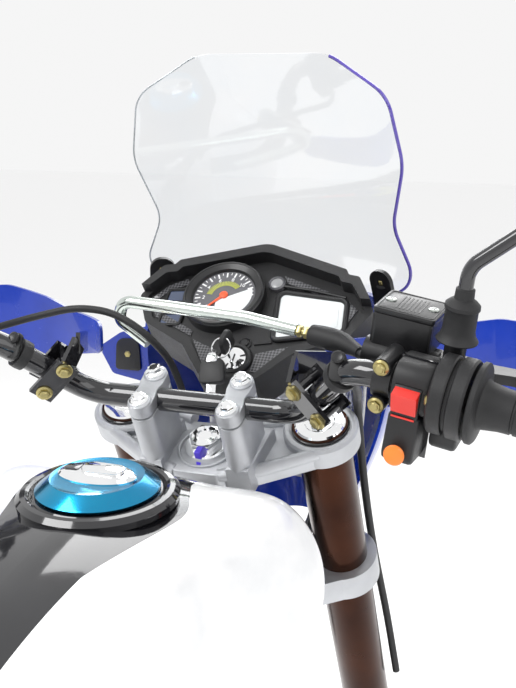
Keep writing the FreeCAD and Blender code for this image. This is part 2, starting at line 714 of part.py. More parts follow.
def handguards():
    """Curved shields in front of the levers, each cut from a bent strip by its front outline."""
    centre = Vector(262, 110, 0)
    strip = Part.makeCylinder(190, 120, centre + Vector(0, 0, 30))
    strip = strip.cut(Part.makeCylinder(186.5, 120, centre + Vector(0, 0, 30)))
    front = outline([(116, 80, 10), (150, 70, 20), (205, 56, 30), (275, 48, 40), (345, 56, 20), (392, 84, 14),
                     (388, 104, 12), (330, 124, 30), (265, 129, 40), (215, 120, 30), (175, 110, 20),
                     (116, 110, 10)])
    prism = front.extrude(Vector(0, 0, 200))
    prism.Placement = axes((0, 90, 0), (1, 0, 0), (0, 0, 1), (0, -1, 0))
    guard = strip.common(prism)
    guard = max(guard.Solids, key=lambda solid: solid.Volume)
    feature("handguards", both_sides(guard))
    along_bar = (BAR_HIGH - BAR_LOW).normalize()
    across = Vector(0.707, 0.03, -0.707)
    across = (across - along_bar * across.dot(along_bar)).normalize()
    outward = along_bar.cross(across)
    foot = BAR_LOW + along_bar * 46
    reach = float(size.bar_radius)
    plates = [Part.makeBox(24, 46, 4, Vector(-12, -23, lift)) for lift in (reach, -reach - 4)]
    bolts = [Part.makeCylinder(4, 2 * reach + 2, Vector(0, side * 16, -reach - 1)) for side in (-1, 1)]
    clamp = plates[0].fuse([plates[1]] + bolts)
    clamp.Placement = axes(foot, along_bar, across, outward)
    start = foot - across * 22 + outward * (reach + 2)
    arm = bent_strap([start, Vector(108, 52, 104), Vector(128, 2, 94)], 20, 4)
    bracket = clamp.fuse(arm).cut(bar_solid()).cut(guard)
    bracket = max(bracket.Solids, key=lambda solid: solid.Volume)
    feature("handguard_brackets", both_sides(bracket))


# ---------------------------------------------------------------- instruments and front

DASH_OUTLINE = [(0, 149, 30), (94, 118, 4), (98, 111, 4), (110, 109, 6), (131, 74, 10), (112, 38, 12),
                (60, 12, 10), (30, -24, 8), (-30, -24, 8), (-60, 12, 10), (-112, 38, 12), (-131, 74, 10),
                (-110, 109, 6), (-98, 111, 4), (-94, 118, 4)]
FACE_OUTLINE = [(0, 137, 26), (88, 108, 4), (92, 101, 4), (104, 99, 6), (122, 73, 8), (105, 44, 10),
                (54, 20, 8), (26, -18, 6), (-26, -18, 6), (-54, 20, 8), (-105, 44, 10), (-122, 73, 8),
                (-104, 99, 6), (-92, 101, 4), (-88, 108, 4)]


def dash():
    shell = plate(DASH_OUTLINE, 58, Placement(Vector(0, 0, -42), Rotation()))
    recess = plate(FACE_OUTLINE, 60, Placement(Vector(0, 0, -4), Rotation()))
    low_rim = Part.makeBox(400, 140, 40, Vector(-200, -60, 4))
    ignition = Part.makeCylinder(float(size.ignition_radius), 80, Vector(0, 0, -60))
    shell = shell.cut(recess).cut(low_rim)
    feature("dash_housing", shell.cut(ignition), DASH)
    tacho = Part.makeCylinder(float(size.tacho_radius), 40, Vector(-float(size.tacho_side),
                              float(size.tacho_along), -4))
    face = plate(FACE_OUTLINE, 4, Placement(Vector(0, 0, -4), Rotation()))
    window = plate([(36, 30, 5), (104, 46, 6), (98, 84, 8), (26, 90, 6)], 20, Placement(Vector(0, 0, -6),
                   Rotation()))
    feature("dash_face", face.cut(tacho).cut(ignition).cut(window), DASH)
    feature("main_display", window.common(plate(FACE_OUTLINE, 6, Placement(Vector(0, 0, -4), Rotation()))),
            DASH)
    place_tacho = DASH.multiply(Placement(Vector(-float(size.tacho_side), float(size.tacho_along), 0),
                                          Rotation()))
    radius = size.tacho_radius
    gauge = turned("tachometer", [(0, -4), (radius, -4), (radius, 12), (radius - 3, 15), (radius - 9, 12),
                                  (radius - 11, 8), (0, 8)])
    keep(gauge, "tachometer", place_tacho)
    radius = size.ignition_radius
    lock = turned("ignition_switch", [(0, -60), (radius, -60), (radius, 3), (radius - 2, 5), (0, 5)])
    keep(lock, "ignition_switch", DASH)


def keys():
    """A key in the ignition with its ring and a spare key hanging on it."""
    key = Part.makeBox(2.4, 10, 14, Vector(-1.2, -5, 5))
    head = Part.makeBox(5, 24, 24, Vector(-2.5, -12, 19))
    ring = Part.makeTorus(11, 1, Vector(0, -8, 40), Vector(0.3, 1, 0.2))
    spare_head = Part.makeBox(26, 28, 8, Vector(-6, -52, 22))
    spare_blade = Part.makeBox(9, 26, 2.4, Vector(3, -77, 25))
    shape = key.fuse([head, ring, spare_head, spare_blade])
    link = Part.makeBox(3, 14, 3, Vector(0, -28, 27))
    shape = shape.fuse([link, Part.makeBox(3, 8, 16, Vector(-1.5, -24, 26))])
    feature("ignition_keys", shape.removeSplitter(), DASH)


SCREEN_FRONT = [(-96, 84, 20), (-120, 112, 10), (-158, 138, 26), (-133, 196, 40), (-150, 262, 60),
                (-136, 330, 40), (-70, 372, 50), (70, 372, 50), (136, 330, 40), (150, 262, 60),
                (133, 196, 40), (158, 138, 26), (120, 112, 10), (96, 84, 20)]


def windscreen():
    lean = math.radians(20)
    axis = Vector(0, math.sin(lean), math.cos(lean))
    middle = Vector(0, 75, 140)
    sheets = [Part.makeCylinder(radius, 600, middle - axis * 300, axis) for radius in (300, 297)]
    prism = outline(SCREEN_FRONT).extrude(Vector(0, 0, 500))
    prism.Placement = axes((0, -60, 0), (1, 0, 0), (0, 0, 1), (0, -1, 0))
    screen = sheets[0].cut(sheets[1]).common(prism)
    screen = max(screen.Solids, key=lambda solid: solid.Volume)
    feature("windscreen", screen)
    tab = plate([(-14, -38, 3), (14, -38, 3), (14, 14, 13), (-14, 14, 13)], 5)
    tab.Placement = axes((127, -176, 140), (-0.89, -0.45, 0), (0, 0.342, 0.94), (0.42, -0.85, -0.3))
    feature("screen_brackets", both_sides(tab))


def fairing_solid(inset):
    """The headlight fairing's outer form, or the same form drawn in by its thickness."""
    rows = [(118, 132, -262), (40, 142, -300), (-60, 118, -322), (-170, 62, -300)]
    wires = []
    for height, half, nose in rows:
        half, nose = half - inset, nose + inset
        rear = -158 if not inset else -120
        points = [Vector(-half, rear, height), Vector(-half, rear - 40, height),
                  Vector(-half * 0.62, nose + 26, height), Vector(0, nose, height),
                  Vector(half * 0.62, nose + 26, height), Vector(half, rear - 40, height),
                  Vector(half, rear, height)]
        curve = Part.BSplineCurve()
        curve.interpolate(points)
        wires.append(Part.Wire([curve.toShape(), Part.LineSegment(points[-1], points[0]).toShape()]))
    return Part.makeLoft(wires, True, False)


def front_fairing():
    outer, inner = fairing_solid(0), fairing_solid(3.5)
    opening = plate([(-78, -96, 30), (78, -96, 30), (88, 60, 24), (-88, 60, 24)], 160)
    opening.Placement = axes((0, -240, 0), (1, 0, 0), (0, 0, 1), (0, -1, 0))
    shell = outer.cut(inner).cut(opening)
    shell = max(shell.Solids, key=lambda solid: solid.Volume)
    wing = plate([(116, 78), (140, 75, 10), (176, 65, 14), (204, 46, 8), (187, 16, 8), (116, 4)], 3.5)
    wing.Placement = axes((0, -164, 0), (1, 0, 0), (0, 0, 1), (0, -1, 0))
    wing = wing.cut(inner)
    feature("headlight_fairing", shell.fuse([wing, mirrored(wing)]).removeSplitter())
    lamp = plate([(-76, -94, 28), (76, -94, 28), (86, 58, 22), (-86, 58, 22)], 130)
    lamp.Placement = axes((0, -196, 0), (1, 0, 0), (0, 0, 1), (0, -1, 0))
    lamp = lamp.common(outer)
    feature("headlamp", max(lamp.Solids, key=lambda solid: solid.Volume))


def fairing_stay():
    """Steel rods: two from the lower yoke to behind the headlamp, and one from the top yoke to the dash."""
    routes = [[(side * 60, -108, -142), (side * 60, -158, -122), (side * 60, -184, -60)] for side in (-1, 1)]
    routes.append([(0, -70, -30), (0, -140, -20), (0, -150, 50)])
    shape = Part.makeCompound([rod(smooth_path(route, 24), 6) for route in routes])
    feature("fairing_stay", shape)


# ---------------------------------------------------------------- cables

GUIDE_ROUTE = [(-92, 2, 121), (-40, -4, 128), (40, -12, 131), (96, -16, 133), (104, -24, 112), (70, -20, 92)]
THROTTLE_ROUTE = [(-101, 3, 119), (-135, 12, 116), (-170, 40, 110), (-196, 70, 100)]
CLUTCH_ROUTE = [(216, 50, 106), (176, 22, 118), (130, 16, 130), (92, 14, 128), (58, 16, 112), (44, -12, 80),
                (50, -56, 36), (60, -96, -14)]
HOSE_ROUTE = [(-176, 60, 100), (-152, 22, 84), (-142, -30, 58), (-128, -78, 40), (-125, -118, -52),
              (-125, -162, -142), (-132, -217, -259), (-139, -240, -338)]


def cables():
    feature("cable_guide_tube", rod(smooth_path(GUIDE_ROUTE, [60, 120, 16, 8]), size.guide_radius))
    cord("throttle_cable", THROTTLE_ROUTE, size.cable_radius)
    cord("clutch_cable", CLUTCH_ROUTE, size.cable_radius)
    cord("brake_hose", HOSE_ROUTE, size.hose_radius)


def lower_yoke():
    yoke("bottom_yoke", size.lower_yoke_top, size.lower_yoke_thick, False)


def trim_overlaps():
    """Let each simple piece give way where a neighbour on the same side of the steering passes through."""
    order = {thing.Label: thing for thing in nodes}
    pairs = [("handguard_brackets", ["brake_hose", "clutch_cable", "throttle_cable"]),
             ("screen_brackets", ["windscreen", "dash_housing", "headlight_fairing"]),
             ("headlight_fairing", ["dash_housing", "windscreen", "headlamp", "fairing_stay"]),
             ("fairing_stay", ["dash_housing", "bottom_yoke", "top_yoke"]),
             ("throttle_cable", ["cable_guide_tube", "brake_master", "handlebar", "handguard_brackets"]),
             ("clutch_cable", ["handlebar", "handguard_brackets", "cable_guide_tube", "clutch_perch"]),
             ("brake_hose", ["handlebar", "handguard_brackets", "brake_master"]),
             ("mirror_stems", ["brake_master", "clutch_perch"]),
             ("throttle_housing", ["right_switch_housing", "throttle_grip"]),
             ("brake_master", ["brake_lever"]), ("clutch_perch", ["clutch_lever"])]
    for name, others in pairs:
        piece = order[name]
        shape = piece.Shape.copy()
        for other in others:
            shared = shape.common(order[other].Shape)
            if shared.Volume > 0.01:
                shape = shape.cut(order[other].Shape)
                print(name, "gives way to", other, round(shared.Volume))
        solids = [solid for solid in shape.Solids if solid.Volume > 60]
        piece.Placement = Placement()
        piece.Shape = Part.makeCompound(solids) if len(solids) > 1 else solids[0]


def main():
    frame_spine()
    bearing_cups()
    tank_and_cover()
    filler_ring()
    tank_rubbers()
    fuel_cap()
    yoke("top_yoke", as_size(0), size.yoke_thick, True)
    lower_yoke()
    steering_stem()
    stem_nut()
    fork()
    handlebar()
    handlebar_clamps()
    grips()
    throttle_housing()
    right_switches()
    left_switches()
    brake_master()
    lever("brake_lever", 1, RIGHT_HAND)
    clutch_perch()
    lever("clutch_lever", -1, LEFT_HAND)
    mirrors()
    handguards()
    dash()
    keys()
    windscreen()
    front_fairing()
    fairing_stay()
    cables()
    doc.recompute()
    trim_overlaps()
    doc.recompute()
    write()


def write():
    for thing in doc.Objects:
        if {"Invalid", "Error"} & set(thing.State):
            raise RuntimeError(f"{thing.Label} did not build: {thing.State}")
    os.makedirs("parts", exist_ok=True)
    broken = [thing.Label for thing in nodes if thing.Shape.isNull() or not thing.Shape.isValid()]
    if broken:
        raise RuntimeError(f"not valid: {broken}")
    for thing in nodes:
        shape = thing.Shape
        shape.exportStep(f"parts/{thing.Label}.step")
        print(thing.Label, len(shape.Solids), round(shape.Volume / 1000, 1), "cm3")


main()
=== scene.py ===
"""Looks of the motorcycle cockpit and steering section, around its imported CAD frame."""

import math

import bmesh
import bpy
from mathutils import Matrix, Vector


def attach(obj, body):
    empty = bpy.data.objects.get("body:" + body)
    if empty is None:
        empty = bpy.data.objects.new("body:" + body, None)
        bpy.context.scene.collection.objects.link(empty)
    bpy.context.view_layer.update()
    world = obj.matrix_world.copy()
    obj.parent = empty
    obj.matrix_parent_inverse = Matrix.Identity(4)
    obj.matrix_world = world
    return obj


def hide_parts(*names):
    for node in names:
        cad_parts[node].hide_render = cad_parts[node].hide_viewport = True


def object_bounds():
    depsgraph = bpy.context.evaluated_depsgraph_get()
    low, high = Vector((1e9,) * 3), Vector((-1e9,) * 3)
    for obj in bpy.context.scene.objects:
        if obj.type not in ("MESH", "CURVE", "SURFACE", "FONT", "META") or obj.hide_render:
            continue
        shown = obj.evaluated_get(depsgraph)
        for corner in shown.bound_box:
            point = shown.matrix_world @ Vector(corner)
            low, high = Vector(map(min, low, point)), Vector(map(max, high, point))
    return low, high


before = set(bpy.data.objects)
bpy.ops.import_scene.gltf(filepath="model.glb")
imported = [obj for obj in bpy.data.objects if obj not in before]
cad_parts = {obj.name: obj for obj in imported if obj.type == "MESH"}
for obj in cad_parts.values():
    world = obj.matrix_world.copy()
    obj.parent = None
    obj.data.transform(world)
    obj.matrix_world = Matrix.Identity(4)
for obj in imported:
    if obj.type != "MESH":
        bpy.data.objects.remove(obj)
cad_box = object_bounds()

# The point where the steering axis meets the top yoke, and the steering axis itself.
HEAD = Vector((0.0, -0.430, 0.098))
RAKE = math.radians(27)
DASH_SLOPE = math.radians(39)


def level(x, y, z):
    """Millimetres from the steering head, in the level frame, to metres in the part's frame."""
    return HEAD + Vector((x, y, z)) * 0.001


def leaned(x, y, z):
    """Millimetres in the frame whose Z is the steering axis, to metres in the part's frame."""
    across, along = math.cos(RAKE), math.sin(RAKE)
    return level(x, y * across + z * along, z * across - y * along)


def basis(origin, across, up, outward):
    """The matrix of a local frame, whose units are millimetres."""
    rows = Matrix((across, up, outward)).transposed().to_4x4()
    return Matrix.Translation(origin) @ rows @ Matrix.Scale(0.001, 4)


STEER = basis(HEAD, Vector((1, 0, 0)), Vector((0, math.cos(RAKE), -math.sin(RAKE))),
              Vector((0, math.sin(RAKE), math.cos(RAKE))))
DASH = basis(level(0, -71, 68), Vector((-1, 0, 0)), Vector((0, -math.cos(DASH_SLOPE), math.sin(DASH_SLOPE))),
             Vector((0, math.sin(DASH_SLOPE), math.cos(DASH_SLOPE))))


LEVEL = Matrix.Translation(HEAD) @ Matrix.Scale(0.001, 4)
CAP = LEVEL @ Matrix.Translation((0, 219, 30)) @ Matrix.Rotation(math.radians(-4), 4, "X")
BAR_LOW, BAR_HIGH, BAR_END = Vector((105, 31.69, 51.19)), Vector((172, 108, 118)), Vector((400, 125, 80))


def axes(corner, across, up, outward):
    """A local frame inside another one, from its three directions."""
    rows = Matrix((Vector(across).normalized(), Vector(up).normalized(), Vector(outward).normalized()))
    return Matrix.Translation(corner) @ rows.transposed().to_4x4()


def hand(side):
    """The frame of one outer handlebar stretch: local Z outward along the bar, local Y up."""
    start = Vector((BAR_HIGH.x * side, BAR_HIGH.y, BAR_HIGH.z))
    end = Vector((BAR_END.x * side, BAR_END.y, BAR_END.z))
    outward = (end - start).normalized()
    up = Vector((0, 0.139, 0.99))
    up = (up - outward * up.dot(outward)).normalized()
    return LEVEL @ axes(start, up.cross(outward), up, outward)


RIGHT_HAND, LEFT_HAND = hand(-1), hand(1)


# ---------------------------------------------------------------- materials

def shader(name, colour, rough, metal=0.0, coat=0.0, transmission=0.0, alpha=1.0):
    material = bpy.data.materials.new(name)
    material.use_nodes = True
    bsdf = material.node_tree.nodes["Principled BSDF"]
    bsdf.inputs["Base Color"].default_value = (*colour, 1)
    bsdf.inputs["Roughness"].default_value = rough
    bsdf.inputs["Metallic"].default_value = metal
    bsdf.inputs["Coat Weight"].default_value = coat
    bsdf.inputs["Transmission Weight"].default_value = transmission
    bsdf.inputs["Alpha"].default_value = alpha
    return material, material.node_tree, bsdf


def mottle(tree, scale, low, high, detail=4.0):
    """A noise over the object's own coordinates, spread between two values."""
    place = tree.nodes.new("ShaderNodeTexCoord")
    noise = tree.nodes.new("ShaderNodeTexNoise")
    noise.inputs["Scale"].default_value = scale
    noise.inputs["Detail"].default_value = detail
    spread = tree.nodes.new("ShaderNodeMapRange")
    spread.inputs["From Min"].default_value = 0.3
    spread.inputs["From Max"].default_value = 0.7
    spread.inputs["To Min"].default_value = low
    spread.inputs["To Max"].default_value = high
    tree.links.new(place.outputs["Object"], noise.inputs["Vector"])
    tree.links.new(noise.outputs["Fac"], spread.inputs["Value"])
    return spread.outputs["Result"]


def tint(tree, bsdf, factor, first, second):
    mix = tree.nodes.new("ShaderNodeMix")
    mix.data_type = "RGBA"
    mix.inputs[6].default_value = (*first, 1)
    mix.inputs[7].default_value = (*second, 1)
    tree.links.new(factor, mix.inputs[0])
    tree.links.new(mix.outputs[2], bsdf.inputs["Base Color"])


def bump(tree, bsdf, height, strength, distance):
    node = tree.nodes.new("ShaderNodeBump")
    node.inputs["Strength"].default_value = strength
    node.inputs["Distance"].default_value = distance
    tree.links.new(height, node.inputs["Height"])
    tree.links.new(node.outputs["Normal"], bsdf.inputs["Normal"])


def finish_material(name, colour, rough, metal=0.0, coat=0.0, grain=900.0, depth=0.15, wander=0.04,
                    second=None, **more):
    """A coloured finish with a fine grain in its surface and a slow wander in its colour and gloss."""
    material, tree, bsdf = shader(name, colour, rough, metal, coat, **more)
    other = second or tuple(min(1.0, part * 1.25 + 0.004) for part in colour)
    tint(tree, bsdf, mottle(tree, 18.0, 0.0, 1.0), colour, other)
    tree.links.new(mottle(tree, 45.0, max(0.0, rough - wander), rough + wander), bsdf.inputs["Roughness"])
    bump(tree, bsdf, mottle(tree, grain, 0.0, 1.0, 2.0), depth, 0.0002)
    return material


def carbon_material():
    """Woven strips: two sets of fine diagonal bands, one over the other."""
    material, tree, bsdf = shader("carbon_weave", (0.05, 0.05, 0.055), 0.35, 0.0, 0.6)
    place = tree.nodes.new("ShaderNodeTexCoord")
    turn = tree.nodes.new("ShaderNodeMapping")
    turn.inputs["Rotation"].default_value = (math.radians(39), 0, math.radians(45))
    checks = tree.nodes.new("ShaderNodeTexChecker")
    checks.inputs["Scale"].default_value = 420.0
    checks.inputs["Color1"].default_value = (0.025, 0.025, 0.028, 1)
    checks.inputs["Color2"].default_value = (0.14, 0.14, 0.15, 1)
    tree.links.new(place.outputs["Object"], turn.inputs["Vector"])
    tree.links.new(turn.outputs["Vector"], checks.inputs["Vector"])
    tree.links.new(checks.outputs["Color"], bsdf.inputs["Base Color"])
    bump(tree, bsdf, checks.outputs["Fac"], 0.4, 0.0003)
    return material


def build_materials():
    table = {
        "white_paint": finish_material("white_paint", (0.82, 0.83, 0.84), 0.22, 0, 0.6, 300, 0.03, 0.03),
        "gloss_black": finish_material("gloss_black", (0.008, 0.008, 0.010), 0.10, 0, 0.8, 300, 0.03, 0.03),
        "satin_black": finish_material("satin_black", (0.008, 0.008, 0.009), 0.34, 0, 0.1, 1400, 0.25),
        "moulded_black": finish_material("moulded_black", (0.010, 0.010, 0.011), 0.42, 0, 0, 2400, 0.4),
        "rubber": finish_material("rubber", (0.009, 0.009, 0.010), 0.55, 0, 0, 1800, 0.35),
        "chrome": finish_material("chrome", (0.86, 0.87, 0.88), 0.06, 1, 0, 500, 0.02, 0.02),
        "steel": finish_material("steel", (0.55, 0.56, 0.58), 0.25, 1, 0, 900, 0.1),
        "cast_aluminium": finish_material("cast_aluminium", (0.50, 0.51, 0.53), 0.34, 1, 0, 2600, 0.8, 0.06),
        "blue_anodised": finish_material("blue_anodised", (0.01, 0.24, 0.46), 0.20, 1, 0.5, 700, 0.08,
                                         second=(0.01, 0.34, 0.58)),
        "bronze_anodised": finish_material("bronze_anodised", (0.030, 0.009, 0.004), 0.24, 1, 0.1, 900, 0.1,
                                           second=(0.055, 0.017, 0.007)),
        "blue_plastic": finish_material("blue_plastic", (0.006, 0.035, 0.36), 0.24, 0, 0.5, 600, 0.06),
        "red_plastic": finish_material("red_plastic", (0.75, 0.03, 0.02), 0.3, 0, 0.2, 900, 0.1),
        "orange_plastic": finish_material("orange_plastic", (0.85, 0.20, 0.02), 0.32, 0, 0.2, 900, 0.1),
        "zinc": finish_material("zinc", (0.62, 0.68, 0.64), 0.16, 1, 0.2, 700, 0.06,
                                second=(0.72, 0.76, 0.72)),
        "brass_zinc": finish_material("brass_zinc", (0.42, 0.36, 0.16), 0.32, 1, 0, 900, 0.15),
        "lcd": finish_material("lcd", (0.72, 0.75, 0.75), 0.12, 0, 0.8, 300, 0.02),
        "lcd_dark": finish_material("lcd_dark", (0.05, 0.07, 0.13), 0.12, 0, 0.8, 300, 0.02),
        "violet_paint": finish_material("violet_paint", (0.10, 0.06, 0.70), 0.4, 0, 0, 900, 0.1),
        # The two edges of the one clear screen get different colours: the right edge a darker violet painted shade,
        # the left edge a pale painted highlight.
        "screen_edge": finish_material("screen_edge", (0.09, 0.06, 0.36), 0.12, 0, 0.5, 400, 0.02),
        "lit_screen_edge": finish_material("lit_screen_edge", (0.55, 0.58, 0.60), 0.10, 0, 0.5, 400, 0.02),
        "dial_grey": finish_material("dial_grey", (0.10, 0.10, 0.11), 0.25, 0, 0.6, 300, 0.02),
        "ink_white": finish_material("ink_white", (0.85, 0.85, 0.85), 0.5, 0, 0, 300, 0.02),
        "band_yellow": finish_material("band_yellow", (0.45, 0.48, 0.08), 0.5, 0, 0, 300, 0.02),
        "needle_red": finish_material("needle_red", (0.85, 0.10, 0.03), 0.4, 0, 0, 300, 0.02),
        "clear": finish_material("clear", (0.97, 0.98, 0.99), 0.03, 0, 0, 200, 0.01, 0.01,
                                 second=(0.95, 0.97, 0.99), transmission=1.0),
        "lens": finish_material("lens", (0.93, 0.95, 0.97), 0.08, 0, 0.3, 120, 0.3, 0.02, transmission=0.7),
        "carbon": carbon_material(),
    }
    return table


MATERIALS = build_materials()

NODE_FINISH = {
    "frame_spine": "satin_black", "bearing_cups": "gloss_black", "fuel_tank": "white_paint",
    "tank_cover": "gloss_black", "filler_ring": "gloss_black", "tank_rubbers": "rubber",
    "fuel_cap": "blue_anodised", "cap_key_cover": "chrome", "top_yoke": "cast_aluminium",
    "bottom_yoke": "cast_aluminium", "steering_stem": "steel", "stem_nut": "chrome",
    "fork_tubes": "bronze_anodised", "fork_caps": "chrome", "handlebar": "gloss_black",
    "handlebar_clamps": "cast_aluminium", "throttle_grip": "rubber", "left_grip": "rubber",
    "throttle_housing": "moulded_black", "right_switch_housing": "moulded_black",
    "kill_switch": "red_plastic", "start_button": "orange_plastic", "left_switch_housing": "moulded_black",
    "brake_master": "satin_black", "reservoir_lid": "satin_black", "brake_lever": "satin_black",
    "clutch_perch": "satin_black", "clutch_lever": "satin_black", "mirror_stems": "gloss_black",
    "mirror_heads": "moulded_black", "handguards": "blue_plastic", "handguard_brackets": "gloss_black",
    "dash_housing": "moulded_black", "dash_face": "moulded_black", "main_display": "lcd",
    "tachometer": "satin_black", "ignition_switch": "chrome", "ignition_keys": "moulded_black",
    "windscreen": "clear", "screen_brackets": "satin_black", "headlight_fairing": "blue_plastic",
    "headlamp": "lens", "fairing_stay": "satin_black", "cable_guide_tube": "zinc",
    "throttle_cable": "rubber", "clutch_cable": "rubber", "brake_hose": "rubber",
}


def dress_nodes():
    for name, finish in NODE_FINISH.items():
        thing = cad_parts[name]
        for slot in thing.material_slots:
            slot.material = MATERIALS[finish]


# ---------------------------------------------------------------- making pieces

def rounded(corners, steps=5):
    """The points of a closed outline of (x, y, radius) corners, each rounded by its radius."""
    points = []
    count = len(corners)
    for index, (x, y, bend) in enumerate(corners):
        here = Vector((x, y))
        before = (here - Vector(corners[index - 1][:2])).normalized()
        after = (Vector(corners[(index + 1) % count][:2]) - here).normalized()
        turn = before.angle(after)
        if bend == 0 or turn < 0.01:
            points.append(here)
            continue
        side = (after - before).normalized()
        centre = here + side * (bend / math.cos(turn / 2))
        first = here - before * (bend * math.tan(turn / 2)) - centre
        sign = 1 if before.x * after.y - before.y * after.x > 0 else -1
        for step in range(steps + 1):
            points.append(centre + Matrix.Rotation(sign * turn * step / steps, 2) @ first)
    return points


def stadium(length, width):
    """A slot-shaped outline along Y, with fully rounded ends."""
    half, wide = length / 2, width / 2
    end = wide * 0.98
    return rounded([(-wide, -half, end), (wide, -half, end), (wide, half, end), (-wide, half, end)], 8)


def smooth(points, steps=8):
    """Points along a Catmull-Rom curve through rows of any width."""
    rows = [Vector(point) for point in points]
    rows = [rows[0] * 2 - rows[1]] + rows + [rows[-1] * 2 - rows[-2]]
    out = []
    for a, b, c, d in zip(rows, rows[1:], rows[2:], rows[3:]):
        for step in range(steps):
            t = step / steps
            out.append(0.5 * (2 * b + (c - a) * t + (2 * a - 5 * b + 4 * c - d) * t * t
                              + (3 * b - a - 3 * c + d) * t ** 3))
    return out + [rows[-2]]


class Shape:
    """A mesh under construction, in the millimetres of a local frame."""

    def __init__(self, frame_matrix):
        self.frame = frame_matrix
        self.mesh = bmesh.new()

    def rings(self, rings, closed=False):
        """Skin equal rings of points, capped at both ends unless the skin closes on itself."""
        made = [[self.mesh.verts.new(point) for point in ring] for ring in rings]
        pairs = list(zip(made, made[1:])) + ([(made[-1], made[0])] if closed else [])
        for low, high in pairs:
            for index in range(len(low)):
                following = (index + 1) % len(low)
                self.mesh.faces.new((low[index], low[following], high[following], high[index]))
        if not closed:
            self.mesh.faces.new(list(reversed(made[0])))
            self.mesh.faces.new(made[-1])
        return self

    def lathe(self, rows, place=Matrix(), sides=40, closed=False):
        """Turn (radius, height) rows about the local Z."""
        turns = [(math.cos(math.tau * i / sides), math.sin(math.tau * i / sides)) for i in range(sides)]
        return self.rings([[place @ Vector((max(r, 0.05) * c, max(r, 0.05) * s, z)) for c, s in turns]
                           for r, z in rows], closed)

    def prism(self, corners, low, high, soft=0.0, place=Matrix()):
        """A plate of the given outline; soft rounds its upper and lower edges."""
        middle = sum((Vector(corner[:2]) for corner in corners), Vector((0, 0))) / len(corners)
        layers = [(soft, low), (soft * 0.3, low + soft * 0.3), (0, low + soft), (0, high - soft),
                  (soft * 0.3, high - soft * 0.3), (soft, high)] if soft else [(0, low), (0, high)]
        rings = []
        for inset, height in layers:
            ring = []
            for corner in corners:
                flat = Vector(corner[:2])
                arm = flat - middle
                flat = flat - arm.normalized() * min(inset, arm.length * 0.9)
                ring.append(place @ Vector((flat.x, flat.y, height)))
            rings.append(ring)
        return self.rings(rings)

    def tube(self, points, radius, sides=16, closed=False):
        """A round tube along points; the radius is a number, or each point's fourth value."""
        rings = []
        count = len(points)
        normal = None
        for index, point in enumerate(points):
            here = Vector(point[:3])
            before = Vector(points[index - 1 if closed else max(index - 1, 0)][:3])
            after = Vector(points[(index + 1) % count if closed else min(index + 1, count - 1)][:3])
            direction = (after - before).normalized()
            if normal is None:
                normal = direction.orthogonal()
            normal = (normal - direction * normal.dot(direction)).normalized()
            other = direction.cross(normal)
            wide = radius or point[3]
            rings.append([here + (normal * math.cos(a) + other * math.sin(a)) * wide
                          for a in (math.tau * i / sides for i in range(sides))])
        return self.rings(rings, closed)

    def hexagon(self, across, low, high, place=Matrix()):
        corners = [(across * math.cos(math.tau * i / 6), across * math.sin(math.tau * i / 6)) for i in range(6)]
        return self.prism(corners, low, high, 0.5, place)

    def bolt(self, place, across=6.4, height=5.5, flange=8.6):
        """A flanged hex head standing on the local XY plane."""
        self.lathe([(flange, 0), (flange, 1.2), (across, 2.2)], place, 28)
        self.hexagon(across, 1.5, height, place)
        return self.lathe([(across * 0.7, height), (across * 0.6, height + 0.6)], place, 20)

    def done(self, name, finish, body="steering", nodes=()):
        """Finish the piece: place it, smooth it, give it its material and let it ride."""
        self.mesh.transform(self.frame)
        bmesh.ops.recalc_face_normals(self.mesh, faces=self.mesh.faces)
        data = bpy.data.meshes.new(name)
        self.mesh.to_mesh(data)
        self.mesh.free()
        data.materials.append(MATERIALS[finish])
        data.shade_smooth()
        data.set_sharp_from_angle(angle=math.radians(32))
        thing = bpy.data.objects.new(name, data)
        bpy.context.collection.objects.link(thing)
        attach(thing, body)
        if nodes:
            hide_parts(*nodes)
        return thing


def at(x, y, z, direction=(0, 0, 1)):
    """Stand a local Z at a point, pointing along a direction."""
    turn = Vector(direction).to_track_quat("Z", "Y").to_matrix().to_4x4()
    return Matrix.Translation((x, y, z)) @ turn


# ---------------------------------------------------------------- yoke, clamps and fork top

FORK_X, FORK_Y = 103, -43
RISER_X, RISER_Y = 44, 5


def top_yoke():
    cast = Shape(STEER)
    web = rounded([(-112, -62, 8), (-40, -40, 20), (40, -40, 20), (112, -62, 8), (118, -14, 10), (42, 32, 14),
                   (-42, 32, 14), (-118, -14, 10)])
    cast.prism(web, -24, -9, 2)
    rim = [(22, 34), (60, 20), (112, -12)]
    for side in (-1, 1):
        cast.lathe([(26, -24), (35, -24), (37, -22), (37, -3), (35, -0.5), (31, 0.5), (28.5, -0.5), (27.6, -2)],
                   at(side * FORK_X, FORK_Y, 0), 56)
        foot = stadium(62, 24)
        cast.prism(foot, -24, 58.6, 1.6, Matrix.Translation((side * RISER_X, RISER_Y, 0)))
        cast.prism([(side * 33, -26), (side * 33, 36), (side * 56, 36), (side * 62, -26)], -24, 8, 3)
        for points in (rim, [(30, -38), (70, -52), (100, -60)]):
            ridge = [(side * x, y - 3, -7) for x, y in points]
            cast.tube(smooth(ridge, 5), 6.5, 12)
    cast.prism(rounded([(-34, -22, 12), (34, -22, 12), (34, 26, 10), (22, 37, 8), (-22, 37, 8), (-34, 26, 10)]),
               -24, -1.5, 2.5)
    cast.lathe([(35, -24), (35, -20), (33, -18)], sides=48)
    cast.done("yoke_casting", "cast_aluminium", nodes=("top_yoke",))
    hollow = Shape(STEER)
    hollow.tube([(math.cos(math.tau * i / 40) * 27, math.sin(math.tau * i / 40) * 27 + 2, -0.6)
                 for i in range(40)], 1.6, 8, True)
    hollow.done("stem_rib", "cast_aluminium")


